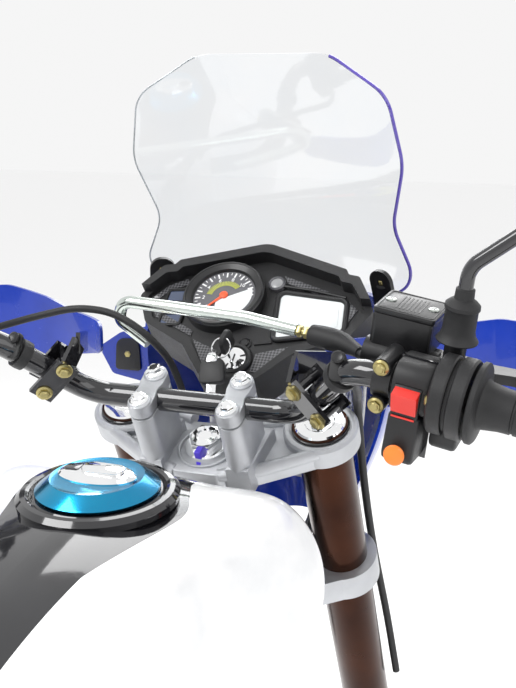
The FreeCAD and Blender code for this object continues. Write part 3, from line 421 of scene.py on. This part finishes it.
def clamps():
    tops = Shape(STEER)
    bolts = Shape(STEER)
    lift = Matrix.Translation
    for side in (-1, 1):
        x = side * RISER_X
        waist = rounded([(-12, -31, 11), (12, -31, 11), (12, -10, 6), (10, 0, 6), (12, 10, 6), (12, 31, 11),
                         (-12, 31, 11), (-12, 10, 6), (-10, 0, 6), (-12, -10, 6)])
        tops.prism(waist, 60.2, 73, 1.6, lift((x, RISER_Y, 0)))
        for reach in (-20, 20):
            tops.lathe([(11.2, 66), (11.2, 74.4), (10.2, 75.4)], at(x, RISER_Y + reach, 0), 36)
            bolts.bolt(at(x, RISER_Y + reach, 75.2), 6.6, 6.2, 9)
    tops.done("clamp_castings", "cast_aluminium", nodes=("handlebar_clamps",))
    bolts.done("clamp_bolts", "chrome")


def stem_and_fork_tops():
    nut = Shape(STEER)
    nut.lathe([(21, -1.5), (21.5, 1.5), (20, 2.8), (17, 3.2)], sides=48)
    nut.hexagon(16.5, 3, 12.4)
    nut.lathe([(14, 12.2), (12.5, 13.6), (8, 14), (7, 12.6), (0, 12.4)], sides=36)
    nut.done("chromed_stem_nut", "chrome", nodes=("stem_nut",))
    mark = Shape(STEER)
    mark.prism([(-3, 13.4), (3, 13), (3.4, 21.8), (-2.4, 22)], 2.2, 10.5, 0.4)
    mark.prism([(-2, 23), (3, 22.5), (1, 27), (-3, 28)], -1.6, -0.9)
    mark.done("torque_mark", "violet_paint")
    caps, rings, screws = Shape(STEER), Shape(STEER), Shape(STEER)
    for side in (-1, 1):
        place = at(side * FORK_X, FORK_Y, 0)
        rings.lathe([(25, -2), (28.2, -2), (28, 1.4), (25.5, 2.4)], place, 48)
        caps.lathe([(25, 0), (25, 3.6), (23.6, 5.2), (15, 5.6), (14, 4.8), (11.5, 4.8)], place, 48)
        caps.hexagon(11, 4.5, 12, place)
        screws.lathe([(6, 11.5), (6, 13.2), (5.2, 14), (0, 14)], place, 24)
    rings.done("fork_seal_rings", "gloss_black")
    caps.done("fork_top_caps", "chrome", nodes=("fork_caps",))
    screws.done("fork_adjusters", "brass_zinc")
    cup = Shape(STEER)
    cup.lathe([(30, -40), (31.8, -38.4), (31.8, -36.6), (29, -35)], sides=48)
    cup.done("bearing_trim", "chrome", "frame")


def cast_levers():
    """Small details on the lower yoke: its pinch bolts."""
    bolts = Shape(STEER)
    for side in (-1, 1):
        for height in (-194, -210):
            bolts.bolt(at(side * (FORK_X - 26), FORK_Y + 34, height, (0, 1, 0)), 5.5, 5, 7)
    bolts.done("pinch_bolts", "steel")


# ---------------------------------------------------------------- handlebar fittings

def bracket_bolts():
    heads = Shape(LEVEL)
    for side in (-1, 1):
        low, high = BAR_LOW.copy(), BAR_HIGH.copy()
        run = (high - low).normalized()
        across = Vector((0.707, 0.03, -0.707))
        across = (across - run * across.dot(run)).normalized()
        outward = run.cross(across)
        for reach in (-16, 16):
            spot = low + run * 46 + across * reach + outward * 15.1
            heads.bolt(at(spot.x * side, spot.y, spot.z, (outward.x * side, outward.y, outward.z)), 5.6, 5, 7.8)
    heads.done("bracket_bolts", "brass_zinc")


def straps():
    """Rubber straps that hold the cables to the bar."""
    bands, studs = Shape(LEVEL), Shape(LEVEL)
    for side, part in ((1, 0.68), (-1, 0.84)):
        low, high = BAR_LOW.copy(), BAR_HIGH.copy()
        low.x, high.x = low.x * side, high.x * side
        run = (high - low).normalized()
        spot = low + (high - low) * part
        place = at(*spot, run)
        bands.lathe([(11, -5.5), (14, -5), (14.4, 0), (14, 5), (11, 5.5)], place, 36, True)
        knob = spot + Vector((0, 8, 13))
        bands.prism(rounded([(-7, -16, 5), (7, -16, 5), (6, 9, 5), (-6, 9, 5)]), -2, 2, 0.6,
                    at(*knob, (0.1 * side, 0.85, 0.5)))
        studs.lathe([(5.5, 1), (5.5, 3.4), (4, 4.4), (2, 3.8)], at(*(knob + Vector((0, 1, 4))), (0.1 * side, 0.85, 0.5)), 24)
    bands.done("cable_straps", "rubber")
    studs.done("strap_studs", "satin_black")


def guide_fittings():
    run = Vector((-0.98, 0.1, -0.13))
    start = Vector((-92, 2, 121))
    nuts, boot = Shape(LEVEL), Shape(LEVEL)
    for reach in (1, 8):
        nuts.hexagon(5.8, 0, 4, at(*(start + run * reach), run))
    nuts.lathe([(3.6, -2), (3.6, 15)], at(*start, run), 20)
    nuts.done("guide_nuts", "brass_zinc")
    boot.tube(smooth([(-105, 3.4, 119, 7.5), (-108, 4, 118.6, 9.5), (-124, 8, 117, 10.5), (-138, 13, 115.5, 9.5),
                      (-150, 22, 113.5, 7), (-160, 31, 112, 5.5)], 6), 0, 24)
    boot.done("throttle_boot", "rubber")


# ---------------------------------------------------------------- controls on the right of the bar

def lid_place():
    """Plates drawn as (forward, outward) and thickened upward in a hand frame."""
    return Matrix(((1, 0, 0, 0), (0, 0, 1, 0), (0, 1, 0, 0), (0, 0, 0, 1)))


def phillips(screws, slots, forward, outward, up):
    place = Matrix.Translation((forward, up, outward)) @ Matrix.Rotation(math.radians(-90), 4, "X")
    screws.lathe([(4.6, 0), (4.4, 1.2), (3, 2)], place, 24)
    # The cross recess is drawn as raised gloss-black bars: painted shade standing in for the hollow.
    for turn in (0.5, 0.5 + math.pi / 2):
        slots.prism([(-2.4, -0.45), (2.4, -0.45), (2.4, 0.45), (-2.4, 0.45)], 1.5, 2.3, 0,
                    place @ Matrix.Rotation(turn, 4, "Z"))


def reservoir():
    lid, border = Shape(RIGHT_HAND), Shape(RIGHT_HAND)
    lid.prism(rounded([(34, 1.4, 3), (81, 1.4, 3), (81, 54.4, 3), (34, 54.4, 3)]), 38.4, 43, 1, lid_place())
    lid.done("reservoir_cover", "satin_black", nodes=("reservoir_lid",))
    edge = [(36.5, 4, 3), (78.5, 4, 3), (78.5, 52, 3), (36.5, 52, 3)]
    border.tube([(point.x, 42.8, point.y) for point in rounded(edge)], 0.7, 8, True)
    for row in range(7):
        outward = 17 + row * 3.4
        border.prism([(43, outward), (72, outward), (72, outward + 1.4), (43, outward + 1.4)], 42.8, 43.3, 0, lid_place())
    border.done("cover_border", "moulded_black")
    screws, slots = Shape(RIGHT_HAND), Shape(RIGHT_HAND)
    for outward in (9.5, 46.5):
        phillips(screws, slots, 57, outward, 42.8)
    screws.done("cover_screws", "zinc")
    # Gloss black on the screw slots is painted shade in their recesses.
    slots.done("screw_slot_shade", "gloss_black")
    body = Shape(RIGHT_HAND)
    body.prism(rounded([(34.5, 2, 4), (80.5, 2, 4), (80.5, 53.8, 4), (34.5, 53.8, 4)]), 10, 38.2, 1.2, lid_place())
    for up in (15, -18):
        body.lathe([(7.4, -16), (7.4, 20)], at(0, up, 31, (1, 0, 0)), 28)
    body.done("reservoir_body", "satin_black")
    heads = Shape(RIGHT_HAND)
    for up in (15, -18):
        heads.bolt(at(-16, up, 31, (-1, 0, 0)), 5, 4.6, 6.6)
    heads.bolt(at(34, 14, 92, (0, 1, 0)), 5.6, 5, 7.5)
    heads.done("master_clamp_bolts", "brass_zinc")


SWITCH_SECTION = [(-24, -16, 8), (24, -16, 8), (24, 22, 12), (-20, 24, 14)]
SWITCH_TAIL = [(-30, -56, 6), (10, -60, 8), (24, -16, 2), (-24, -16, 2)]


def right_switches():
    case = Shape(RIGHT_HAND)
    case.prism(rounded(SWITCH_SECTION), 42, 73, 3)
    case.prism(rounded(SWITCH_TAIL), 44, 70, 3)
    case.prism(rounded([(-25, -20, 4), (-15, -20, 4), (-15, 10, 6), (-25, 8, 6)]), 46, 68, 1)
    case.done("switch_case", "moulded_black", nodes=("right_switch_housing",))
    seam = Shape(RIGHT_HAND)
    seam.prism(rounded([(-0.6, -60, 0), (0.6, -60, 0), (0.6, 24.3, 0), (-0.6, 24.3, 0)]), 41.8, 73.2)
    seam.done("case_seam", "gloss_black")
    rocker = Shape(RIGHT_HAND)
    sideways = Matrix(((1, 0, 0, 0), (0, 1, 0, 0), (0, 0, 1, 0), (0, 0, 0, 1)))
    rocker.prism([(-33, 4), (-23, 7), (-23, -13), (-27.5, -13)], 46.5, 67, 0.6, sideways)
    rocker.done("kill_rocker", "red_plastic", nodes=("kill_switch",))
    line = Shape(RIGHT_HAND)
    line.prism([(-25.9, -18.3), (-25.2, -18.3), (-25.2, -16.9), (-25.9, -16.9)], 47, 66)
    line.done("run_line", "red_plastic")
    button = Shape(RIGHT_HAND)
    place = at(-27, -47, 57, (-1, 0.1, 0))
    button.lathe([(5, -2), (5, 5), (8.2, 6.5), (8.6, 8.4), (7.4, 9.8), (4, 10.4), (0, 10.5)], place, 32)
    button.done("start_mushroom", "orange_plastic", nodes=("start_button",))


def throttle():
    drum = Shape(RIGHT_HAND)
    drum.lathe([(31, 74), (32.5, 75.5), (32.5, 85), (31.5, 86.2), (28.6, 86.4), (28.6, 89.2), (31.5, 89.4),
                (33, 90.8), (33, 100), (31.5, 101.8), (24, 102)], sides=64)
    drum.prism(rounded([(-12, -44, 6), (24, -40, 8), (30, 0, 8), (-12, 0, 4)]), 76, 98, 3)
    drum.done("throttle_drum", "moulded_black", nodes=("throttle_housing",))
    screw = Shape(RIGHT_HAND)
    screw.lathe([(4, 0), (4, 2.4), (3, 3.2)], at(-27, 4, 75, (-0.3, 0, -1)), 20)
    screw.done("drum_screw", "brass_zinc")


def grip(name, frame_matrix, flange, node):
    rows = [(11.2, 104.6), (flange - 1, 104.6), (flange, 105.6), (flange, 109), (flange - 1.5, 110.2),
            (21, 111.5), (19.4, 114), (18.4, 120), (17.4, 127)]
    for ring in range(13):
        start = 132 + ring * 7
        rows += [(17.2, start), (17.2, start + 4.2), (16.2, start + 4.8), (16.2, start + 6.4)]
    rows += [(17.4, 224), (19, 227), (19, 233), (17, 235), (12, 235.6)]
    Shape(frame_matrix).lathe(rows, sides=40).done(name, "rubber", nodes=(node,))


# ---------------------------------------------------------------- mirrors

MIRROR_ROUTE = [(0, 0, 0), (0, 62, 0), (-6, 96, 34), (-8, 190, 92)]


def bent(points, radius, steps=6):
    """Straight runs joined by arcs of one radius, as points."""
    points = [Vector(point) for point in points]
    out = [points[0]]
    for before, corner, after in zip(points, points[1:], points[2:]):
        inward, outward = (corner - before).normalized(), (after - corner).normalized()
        turn = inward.angle(outward)
        begin = corner - inward * (radius * math.tan(turn / 2))
        axis = inward.cross(outward).normalized()
        centre = begin + axis.cross(inward) * radius
        for step in range(steps + 1):
            out.append(centre + Matrix.Rotation(turn * step / steps, 3, axis) @ (begin - centre))
    return out + [points[-1]]


def mirrors():
    stems, boots, heads, glasses = (Shape(LEVEL) for _ in range(4))
    to_level = LEVEL.inverted()
    for side, frame_matrix, foot in ((1, LEFT_HAND, (-24, 18.2, 46)), (-1, RIGHT_HAND, (32, 33.2, 75))):
        place = to_level @ frame_matrix
        foot = Vector(foot)
        points = [place @ (foot + Vector((side * x, y, z))) for x, y, z in MIRROR_ROUTE]
        stems.tube(bent(points, 22), 6, 20)
        up = place @ at(*foot, (0, 1, 0))
        boots.lathe([(17, 0), (17.2, 1), (14.6, 4.5), (13.4, 9), (13.2, 26), (14.4, 28), (14.2, 31), (11, 34),
                     (8, 36), (7.6, 44), (6, 45)], up, 40)
        tip = points[-1]
        shell = axes((tip.x + side * 20, tip.y - 26, tip.z + 30), (side, 0, 0), (0, 0.1, 0.995), (0, 0.995, -0.1))
        face = [(-62, -34, 24), (62, -38, 26), (66, 30, 28), (-58, 36, 26)]
        heads.prism(rounded(face, 8), 0.4, 25.6, 7, shell)
        heads.prism(rounded(face, 8), 14, 26, 1, shell)
        inner = [(x * 0.9, y * 0.86, bend * 0.85) for x, y, bend in face]
        glasses.prism(rounded(inner, 8), 24, 26.6, 0.4, shell)
    stems.done("mirror_rods", "gloss_black", nodes=("mirror_stems",))
    boots.done("mirror_boots", "rubber")
    heads.done("mirror_shells", "moulded_black", nodes=("mirror_heads",))
    glasses.done("mirror_glass", "chrome")


# ---------------------------------------------------------------- instruments

TACHO = Matrix.Translation((-32, 77, 0))


def carbon_trim():
    trim = Shape(DASH)
    strips = [[(24, 116), (90, 94), (98, 90), (113, 76), (104, 52), (99, 53), (104, 74), (94, 84), (30, 106)],
              [(-84, 104), (-104, 92), (-116, 74), (-109, 73), (-99, 86), (-80, 96)],
              [(-116, 68), (-104, 48), (-56, 26), (-56, 33), (-98, 54), (-109, 70)],
              [(-52, 22), (-21, 10), (-21, -12), (-30, -13), (-34, -6)],
              [(21, 10), (58, 24), (66, 22), (34, -8), (28, -13), (21, -12)]]
    for strip in strips:
        trim.prism(strip, -0.5, 1.3, 0.3)
    trim.done("carbon_strips", "carbon")
    bezel = Shape(DASH)
    window = [(34, 28, 6), (106, 45, 7), (100, 87, 9), (24, 93, 8)]
    bezel.tube([(point.x, point.y, 2) for point in rounded(window)], 3, 10, True)
    for x, y, wide, high in ((-87, 77, 13, 9), (-86, 45, 12, 8)):
        frame_line = [(x - wide, y - high, 3), (x + wide, y - high + 3, 3), (x + wide, y + high + 3, 3), (x - wide, y + high, 3)]
        bezel.tube([(point.x, point.y, 1.2) for point in rounded(frame_line)], 2, 8, True)
    bezel.tube([(20, 101, 3), (60, 97, 3), (98, 90, 3)], 1.6, 8)
    bezel.done("display_bezels", "moulded_black")
    lit = Shape(DASH)
    lit.prism(rounded([(40, 36, 4), (98, 50, 5), (93, 79, 6), (33, 84, 6)]), 0.2, 2.6, 0.6)
    lit.done("display_panel", "lcd")
    dim = Shape(DASH)
    for x, y, wide, high in ((-87, 77, 12, 8), (-86, 45, 11, 7)):
        dim.prism([(x - wide, y - high), (x + wide, y - high + 3), (x + wide, y + high + 3), (x - wide, y + high)], -0.4, 1.2)
    dim.done("side_displays", "lcd_dark")


def dial():
    face = Shape(DASH @ TACHO)
    face.lathe([(34, 8), (34, 8.8), (33, 9)], sides=56)
    face.done("dial_plate", "dial_grey")
    ticks, band = Shape(DASH @ TACHO), Shape(DASH @ TACHO)
    for count in range(25):
        angle = math.radians(228 - count * 9.2)
        reach = 26 if count % 2 == 0 else 29
        turn = Matrix.Rotation(angle, 4, "Z")
        thick = 0.8 if count % 2 == 0 else 0.4
        ticks.prism([(reach, -thick), (32, -thick), (32, thick), (reach, thick)], 8.9, 9.4, 0, turn)
    for count in range(26):
        turn = Matrix.Rotation(math.radians(176 - count * 5.2), 4, "Z")
        band.prism([(14, -0.45), (20, -0.45), (20, 0.45), (14, 0.45)], 8.9, 9.3, 0, turn)
    ticks.done("dial_ticks", "ink_white")
    band.done("dial_band", "band_yellow")
    arc = [(31 * math.cos(math.radians(a)), 31 * math.sin(math.radians(a))) for a in range(-96, 32, 8)]
    panel = Shape(DASH @ TACHO)
    panel.prism([(-7, -8)] + arc, 9.2, 9.6)
    panel.done("dial_display", "lcd")
    needle = Shape(DASH @ TACHO)
    needle.prism([(-2, -1.6), (28, -0.7), (28, 0.7), (-2, 1.6)], 10, 10.8, 0, Matrix.Rotation(math.radians(232), 4, "Z"))
    needle.lathe([(4.5, 9.4), (4.5, 11.4), (3.5, 12)], sides=24)
    needle.done("dial_needle", "needle_red")
    for count in range(7):
        angle = math.radians(228 - count * 36.8)
        numeral(str(count * 2), 22.5 * math.cos(angle), 22.5 * math.sin(angle))
    rim = Shape(DASH @ TACHO)
    rim.tube([(math.cos(math.tau * i / 64) * 42, math.sin(math.tau * i / 64) * 42, 14.2) for i in range(64)], 1.4, 8, True)
    rim.done("dial_rim", "moulded_black")


def numeral(text, x, y):
    """One plain number on the dial, as a thin raised mesh."""
    curve = bpy.data.curves.new("numeral_" + text, "FONT")
    curve.body = text
    curve.size = 6.5
    curve.align_x = "CENTER"
    curve.align_y = "CENTER"
    curve.extrude = 0.15
    holder = bpy.data.objects.new("numeral_source", curve)
    data = bpy.data.meshes.new_from_object(holder)
    bpy.data.objects.remove(holder)
    data.transform(DASH @ TACHO @ Matrix.Translation((x, y, 9.2)))
    data.materials.clear()
    data.materials.append(MATERIALS["ink_white"])
    thing = bpy.data.objects.new("numeral_" + text, data)
    bpy.context.collection.objects.link(thing)
    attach(thing, "steering")


def dash_small():
    lamp = Shape(DASH)
    lamp.lathe([(9.5, -4), (9.5, 4.5), (8, 6), (6.8, 5), (6.8, 3.5)], at(19, 103, 0), 36)
    lamp.done("lamp_bezel", "dial_grey")
    glass = Shape(DASH)
    glass.lathe([(6.9, 3), (6.5, 4.6), (4, 5.6), (0, 6)], at(19, 103, 0), 32)
    glass.done("lamp_glass", "lens")
    button = Shape(DASH)
    button.lathe([(7, -1), (7, 1.6), (6, 2.4), (5, 1.4), (4.4, 1.4), (4.2, 3), (3.4, 3.6), (0, 3.6)], at(6, 22, 0), 32)
    button.prism([(16, 21), (34, 25), (34, 27.5), (16, 23.5)], -0.4, 1.6, 0.3)
    button.done("trip_button", "satin_black")
    collar = Shape(DASH)
    collar.lathe([(15.2, -2), (20, -2), (20, 3), (18.6, 5), (15.4, 5)], sides=48, closed=True)
    collar.prism([(-2, -4.5), (2, -4.5), (2, 4.5), (-2, 4.5)], 4.6, 5.6)
    for mark in range(5):
        turn = Matrix.Rotation(math.radians(20 - mark * 32), 4, "Z")
        collar.prism([(8, -0.8), (13.4, -1.2), (13.4, 1.2), (8, 0.8)], 4.9, 5.25, 0, turn)
    collar.done("lock_collar", "satin_black")


def keys():
    black, metal = Shape(DASH), Shape(DASH)
    metal.prism([(-1.4, -5), (1.4, -5), (1.4, 5), (-1.4, 5)], 5, 22, 0.3)
    head = [(-10, 18, 5), (10, 18, 5), (10, 42, 7), (-10, 42, 7)]
    black.prism(rounded(head), -2.6, 2.6, 0.8, Matrix.Rotation(math.radians(90), 4, "X")
                @ Matrix.Rotation(math.radians(80), 4, "Y"))
    ring = axes((-2, -10, 33), (1, 0, 0.1), (0, 0.85, 0.5), (-0.1, -0.5, 0.85))
    metal.tube([ring @ Vector((10 * math.cos(math.tau * i / 40), 10 * math.sin(math.tau * i / 40), 0))
                for i in range(40)], 0.8, 10, True)
    spare = axes((-5, -35, 26), (1, 0.2, 0), (-0.2, 1, 0.25), (0, -0.25, 1))
    black.prism(rounded([(-13, -13, 5), (13, -13, 5), (12, 13, 6), (-12, 13, 6)]), -4, 4, 1.6, spare)
    metal.prism(rounded([(-5, -33, 2), (4, -33, 2), (4.5, -12, 1), (-5, -12, 1)]), -1.2, 1.2, 0.3, spare)
    metal.prism(rounded([(-6, 9, 2), (6, 9, 2), (4, 19, 3), (-4, 19, 3)]), -2, 4.8, 0.5, spare)
    black.done("key_heads", "moulded_black", nodes=("ignition_keys",))
    metal.done("key_metal", "chrome")


# ---------------------------------------------------------------- screen, fairing and tank

SCREEN_FRONT = [(-96, 84, 20), (-120, 112, 10), (-158, 138, 26), (-133, 196, 40), (-150, 262, 60),
                (-136, 330, 40), (-70, 372, 50), (70, 372, 50), (136, 330, 40), (150, 262, 60),
                (133, 196, 40), (158, 138, 26), (120, 112, 10), (96, 84, 20)]


def on_screen(x, z, radius=298.5):
    """The point of the bent screen behind a point of its front outline."""
    lean = math.radians(20)
    forward = -math.sqrt(radius * radius - x * x)
    return Vector((x, 75 + (forward + (z - 140) * math.sin(lean)) / math.cos(lean), z))


def screen_edges():
    outline = rounded(SCREEN_FRONT, 8)
    # The same edge of one clear sheet, painted as a highlight on the left and as violet shade on the right.
    for name, side, finish, thick in (("left", 1, "lit_screen_edge", 0.9), ("right", -1, "screen_edge", 1.7)):
        run = [on_screen(point.x, point.y) for point in outline if point.x * side > 70]
        Shape(LEVEL).tube(run, thick, 8).done(f"screen_edge_{name}", finish)
    screws, washers = Shape(LEVEL), Shape(LEVEL)
    for side in (-1, 1):
        facing = (-0.42 * side, 0.85, 0.3)
        washers.lathe([(9, 0), (9, 1.6), (7, 2.4)], at(127 * side, -176, 140, facing), 28)
        screws.bolt(at(127 * side, -174, 140.6, facing), 3.6, 3.4, 5)
        screws.bolt(at(166 * side, -164, 41, (0, 1, 0)), 4, 3.6, 6)
    washers.done("screen_washers", "rubber")
    screws.done("screen_screws", "brass_zinc")
    tabs = Shape(LEVEL)
    for side in (-1, 1):
        tabs.prism(rounded([(150 * side, 22, 4), (182 * side, 22, 4), (180 * side, 58, 10), (152 * side, 60, 10)]), -1.5, 1.5, 0.5,
                   axes((0, -162.6, 0), (1, 0, 0), (0, 0, 1), (0, -1, 0)))
    tabs.done("fairing_tabs", "moulded_black")


def filler():
    cap = Shape(CAP)
    cap.lathe([(33, -11), (33, 0.6), (48.6, 0.6), (49.6, 1.4), (49.6, 3), (48, 4.4), (39, 11), (37.4, 12),
               (36, 11.6), (30, 11.4), (0, 11.4)], sides=72)
    cap.done("anodised_cap", "blue_anodised", "fuel_cap", ("fuel_cap",))
    oval = Matrix.Diagonal((1, 0.56, 1, 1))
    chromed = Shape(CAP)
    chromed.lathe([(33, 10.6), (33.4, 13), (31, 15.4), (26, 16.6), (10, 17.2), (0, 17.2)], oval, 56)
    chromed.prism(rounded([(-24, -8, 7), (12, -9, 8), (12, 9, 8), (-24, 8, 7)]), 16.4, 20, 1.4)
    chromed.done("chromed_key_cover", "chrome", "fuel_cap", ("cap_key_cover",))
    # A thin gloss-black plate by the key cover: painted shade standing in for the finger recess in the chrome.
    recess_shade = Shape(CAP)
    recess_shade.prism(rounded([(14, -6, 3), (27, -5, 3), (27, 5, 3), (14, 6, 3)]), 16.4, 17.6, 0.4)
    recess_shade.done("key_cover_recess_shade", "gloss_black", "fuel_cap")
    lip = Shape(CAP)
    lip.lathe([(53, -5), (54.5, 0.5), (57, 2), (61, 1.4), (65, -2.5), (64, -8)], sides=72, closed=True)
    lip.done("filler_lip", "gloss_black", "frame")


def headlamp_inside():
    bowls = Shape(LEVEL)
    for height, radius in ((-46, 44), (26, 26)):
        bowls.lathe([(radius * 0.3, 0), (radius * 0.75, 14), (radius, 34), (radius * 0.96, 35),
                     (radius * 0.7, 15), (radius * 0.25, 2)], at(0, -232, height, (0, -1, 0)), 48, True)
    bowls.done("lamp_bowls", "chrome")


def add_details():
    for make in (top_yoke, clamps, stem_and_fork_tops, cast_levers, bracket_bolts, straps, guide_fittings,
                 reservoir, right_switches, throttle, mirrors, carbon_trim, dial, dash_small, keys,
                 screen_edges, filler, headlamp_inside):
        make()
    grip("throttle_rubber", RIGHT_HAND, 33, "throttle_grip")
    grip("left_rubber", LEFT_HAND, 24, "left_grip")


# ---------------------------------------------------------------- camera, floor and light

def camera():
    """The rider's view, over the left of the tank."""
    yaw, pitch = math.radians(20.4), math.radians(12.9)
    look = Vector((math.sin(yaw) * math.cos(pitch), -math.cos(yaw) * math.cos(pitch), -math.sin(pitch)))
    data = bpy.data.cameras.new("rider_view")
    data.lens = 59.07
    data.sensor_width = 36
    thing = bpy.data.objects.new("rider_view", data)
    thing.location = level(-411, 963, 340)
    thing.rotation_euler = look.to_track_quat("-Z", "Y").to_euler()
    bpy.context.collection.objects.link(thing)
    bpy.context.scene.camera = thing


def floor():
    drop = cad_box[0][2] - 0.25
    data = bpy.data.meshes.new("floor")
    reach = 12.0
    corners = [(-reach, -reach, drop), (reach, -reach, drop), (reach, reach, drop), (-reach, reach, drop)]
    data.from_pydata(corners, [], [(0, 1, 2, 3)])
    thing = bpy.data.objects.new("floor", data)
    material, tree, bsdf = shader("floor", (0.97, 0.97, 0.97), 0.8)
    data.materials.append(material)
    bpy.context.collection.objects.link(thing)


def area_light(name, place, target, size, power):
    data = bpy.data.lights.new(name, "AREA")
    data.size = size
    data.energy = power
    thing = bpy.data.objects.new(name, data)
    thing.location = place
    thing.rotation_euler = (Vector(target) - Vector(place)).to_track_quat("-Z", "Y").to_euler()
    bpy.context.collection.objects.link(thing)


def lights():
    world = bpy.data.worlds.new("studio")
    world.use_nodes = True
    world.node_tree.nodes["Background"].inputs["Color"].default_value = (1, 1, 1, 1)
    world.node_tree.nodes["Background"].inputs["Strength"].default_value = 0.92
    bpy.context.scene.world = world
    bpy.context.scene.view_settings.view_transform = "Standard"
    middle = level(0, 0, 50)
    area_light("key", (1.2, 0.9, 1.9), middle, 1.2, 34)
    area_light("fill", (-1.6, 0.6, 1.2), middle, 1.6, 9)
    area_light("rim", (0.2, -2.0, 1.4), middle, 1.4, 22)


camera()
floor()
lights()
dress_nodes()
add_details()
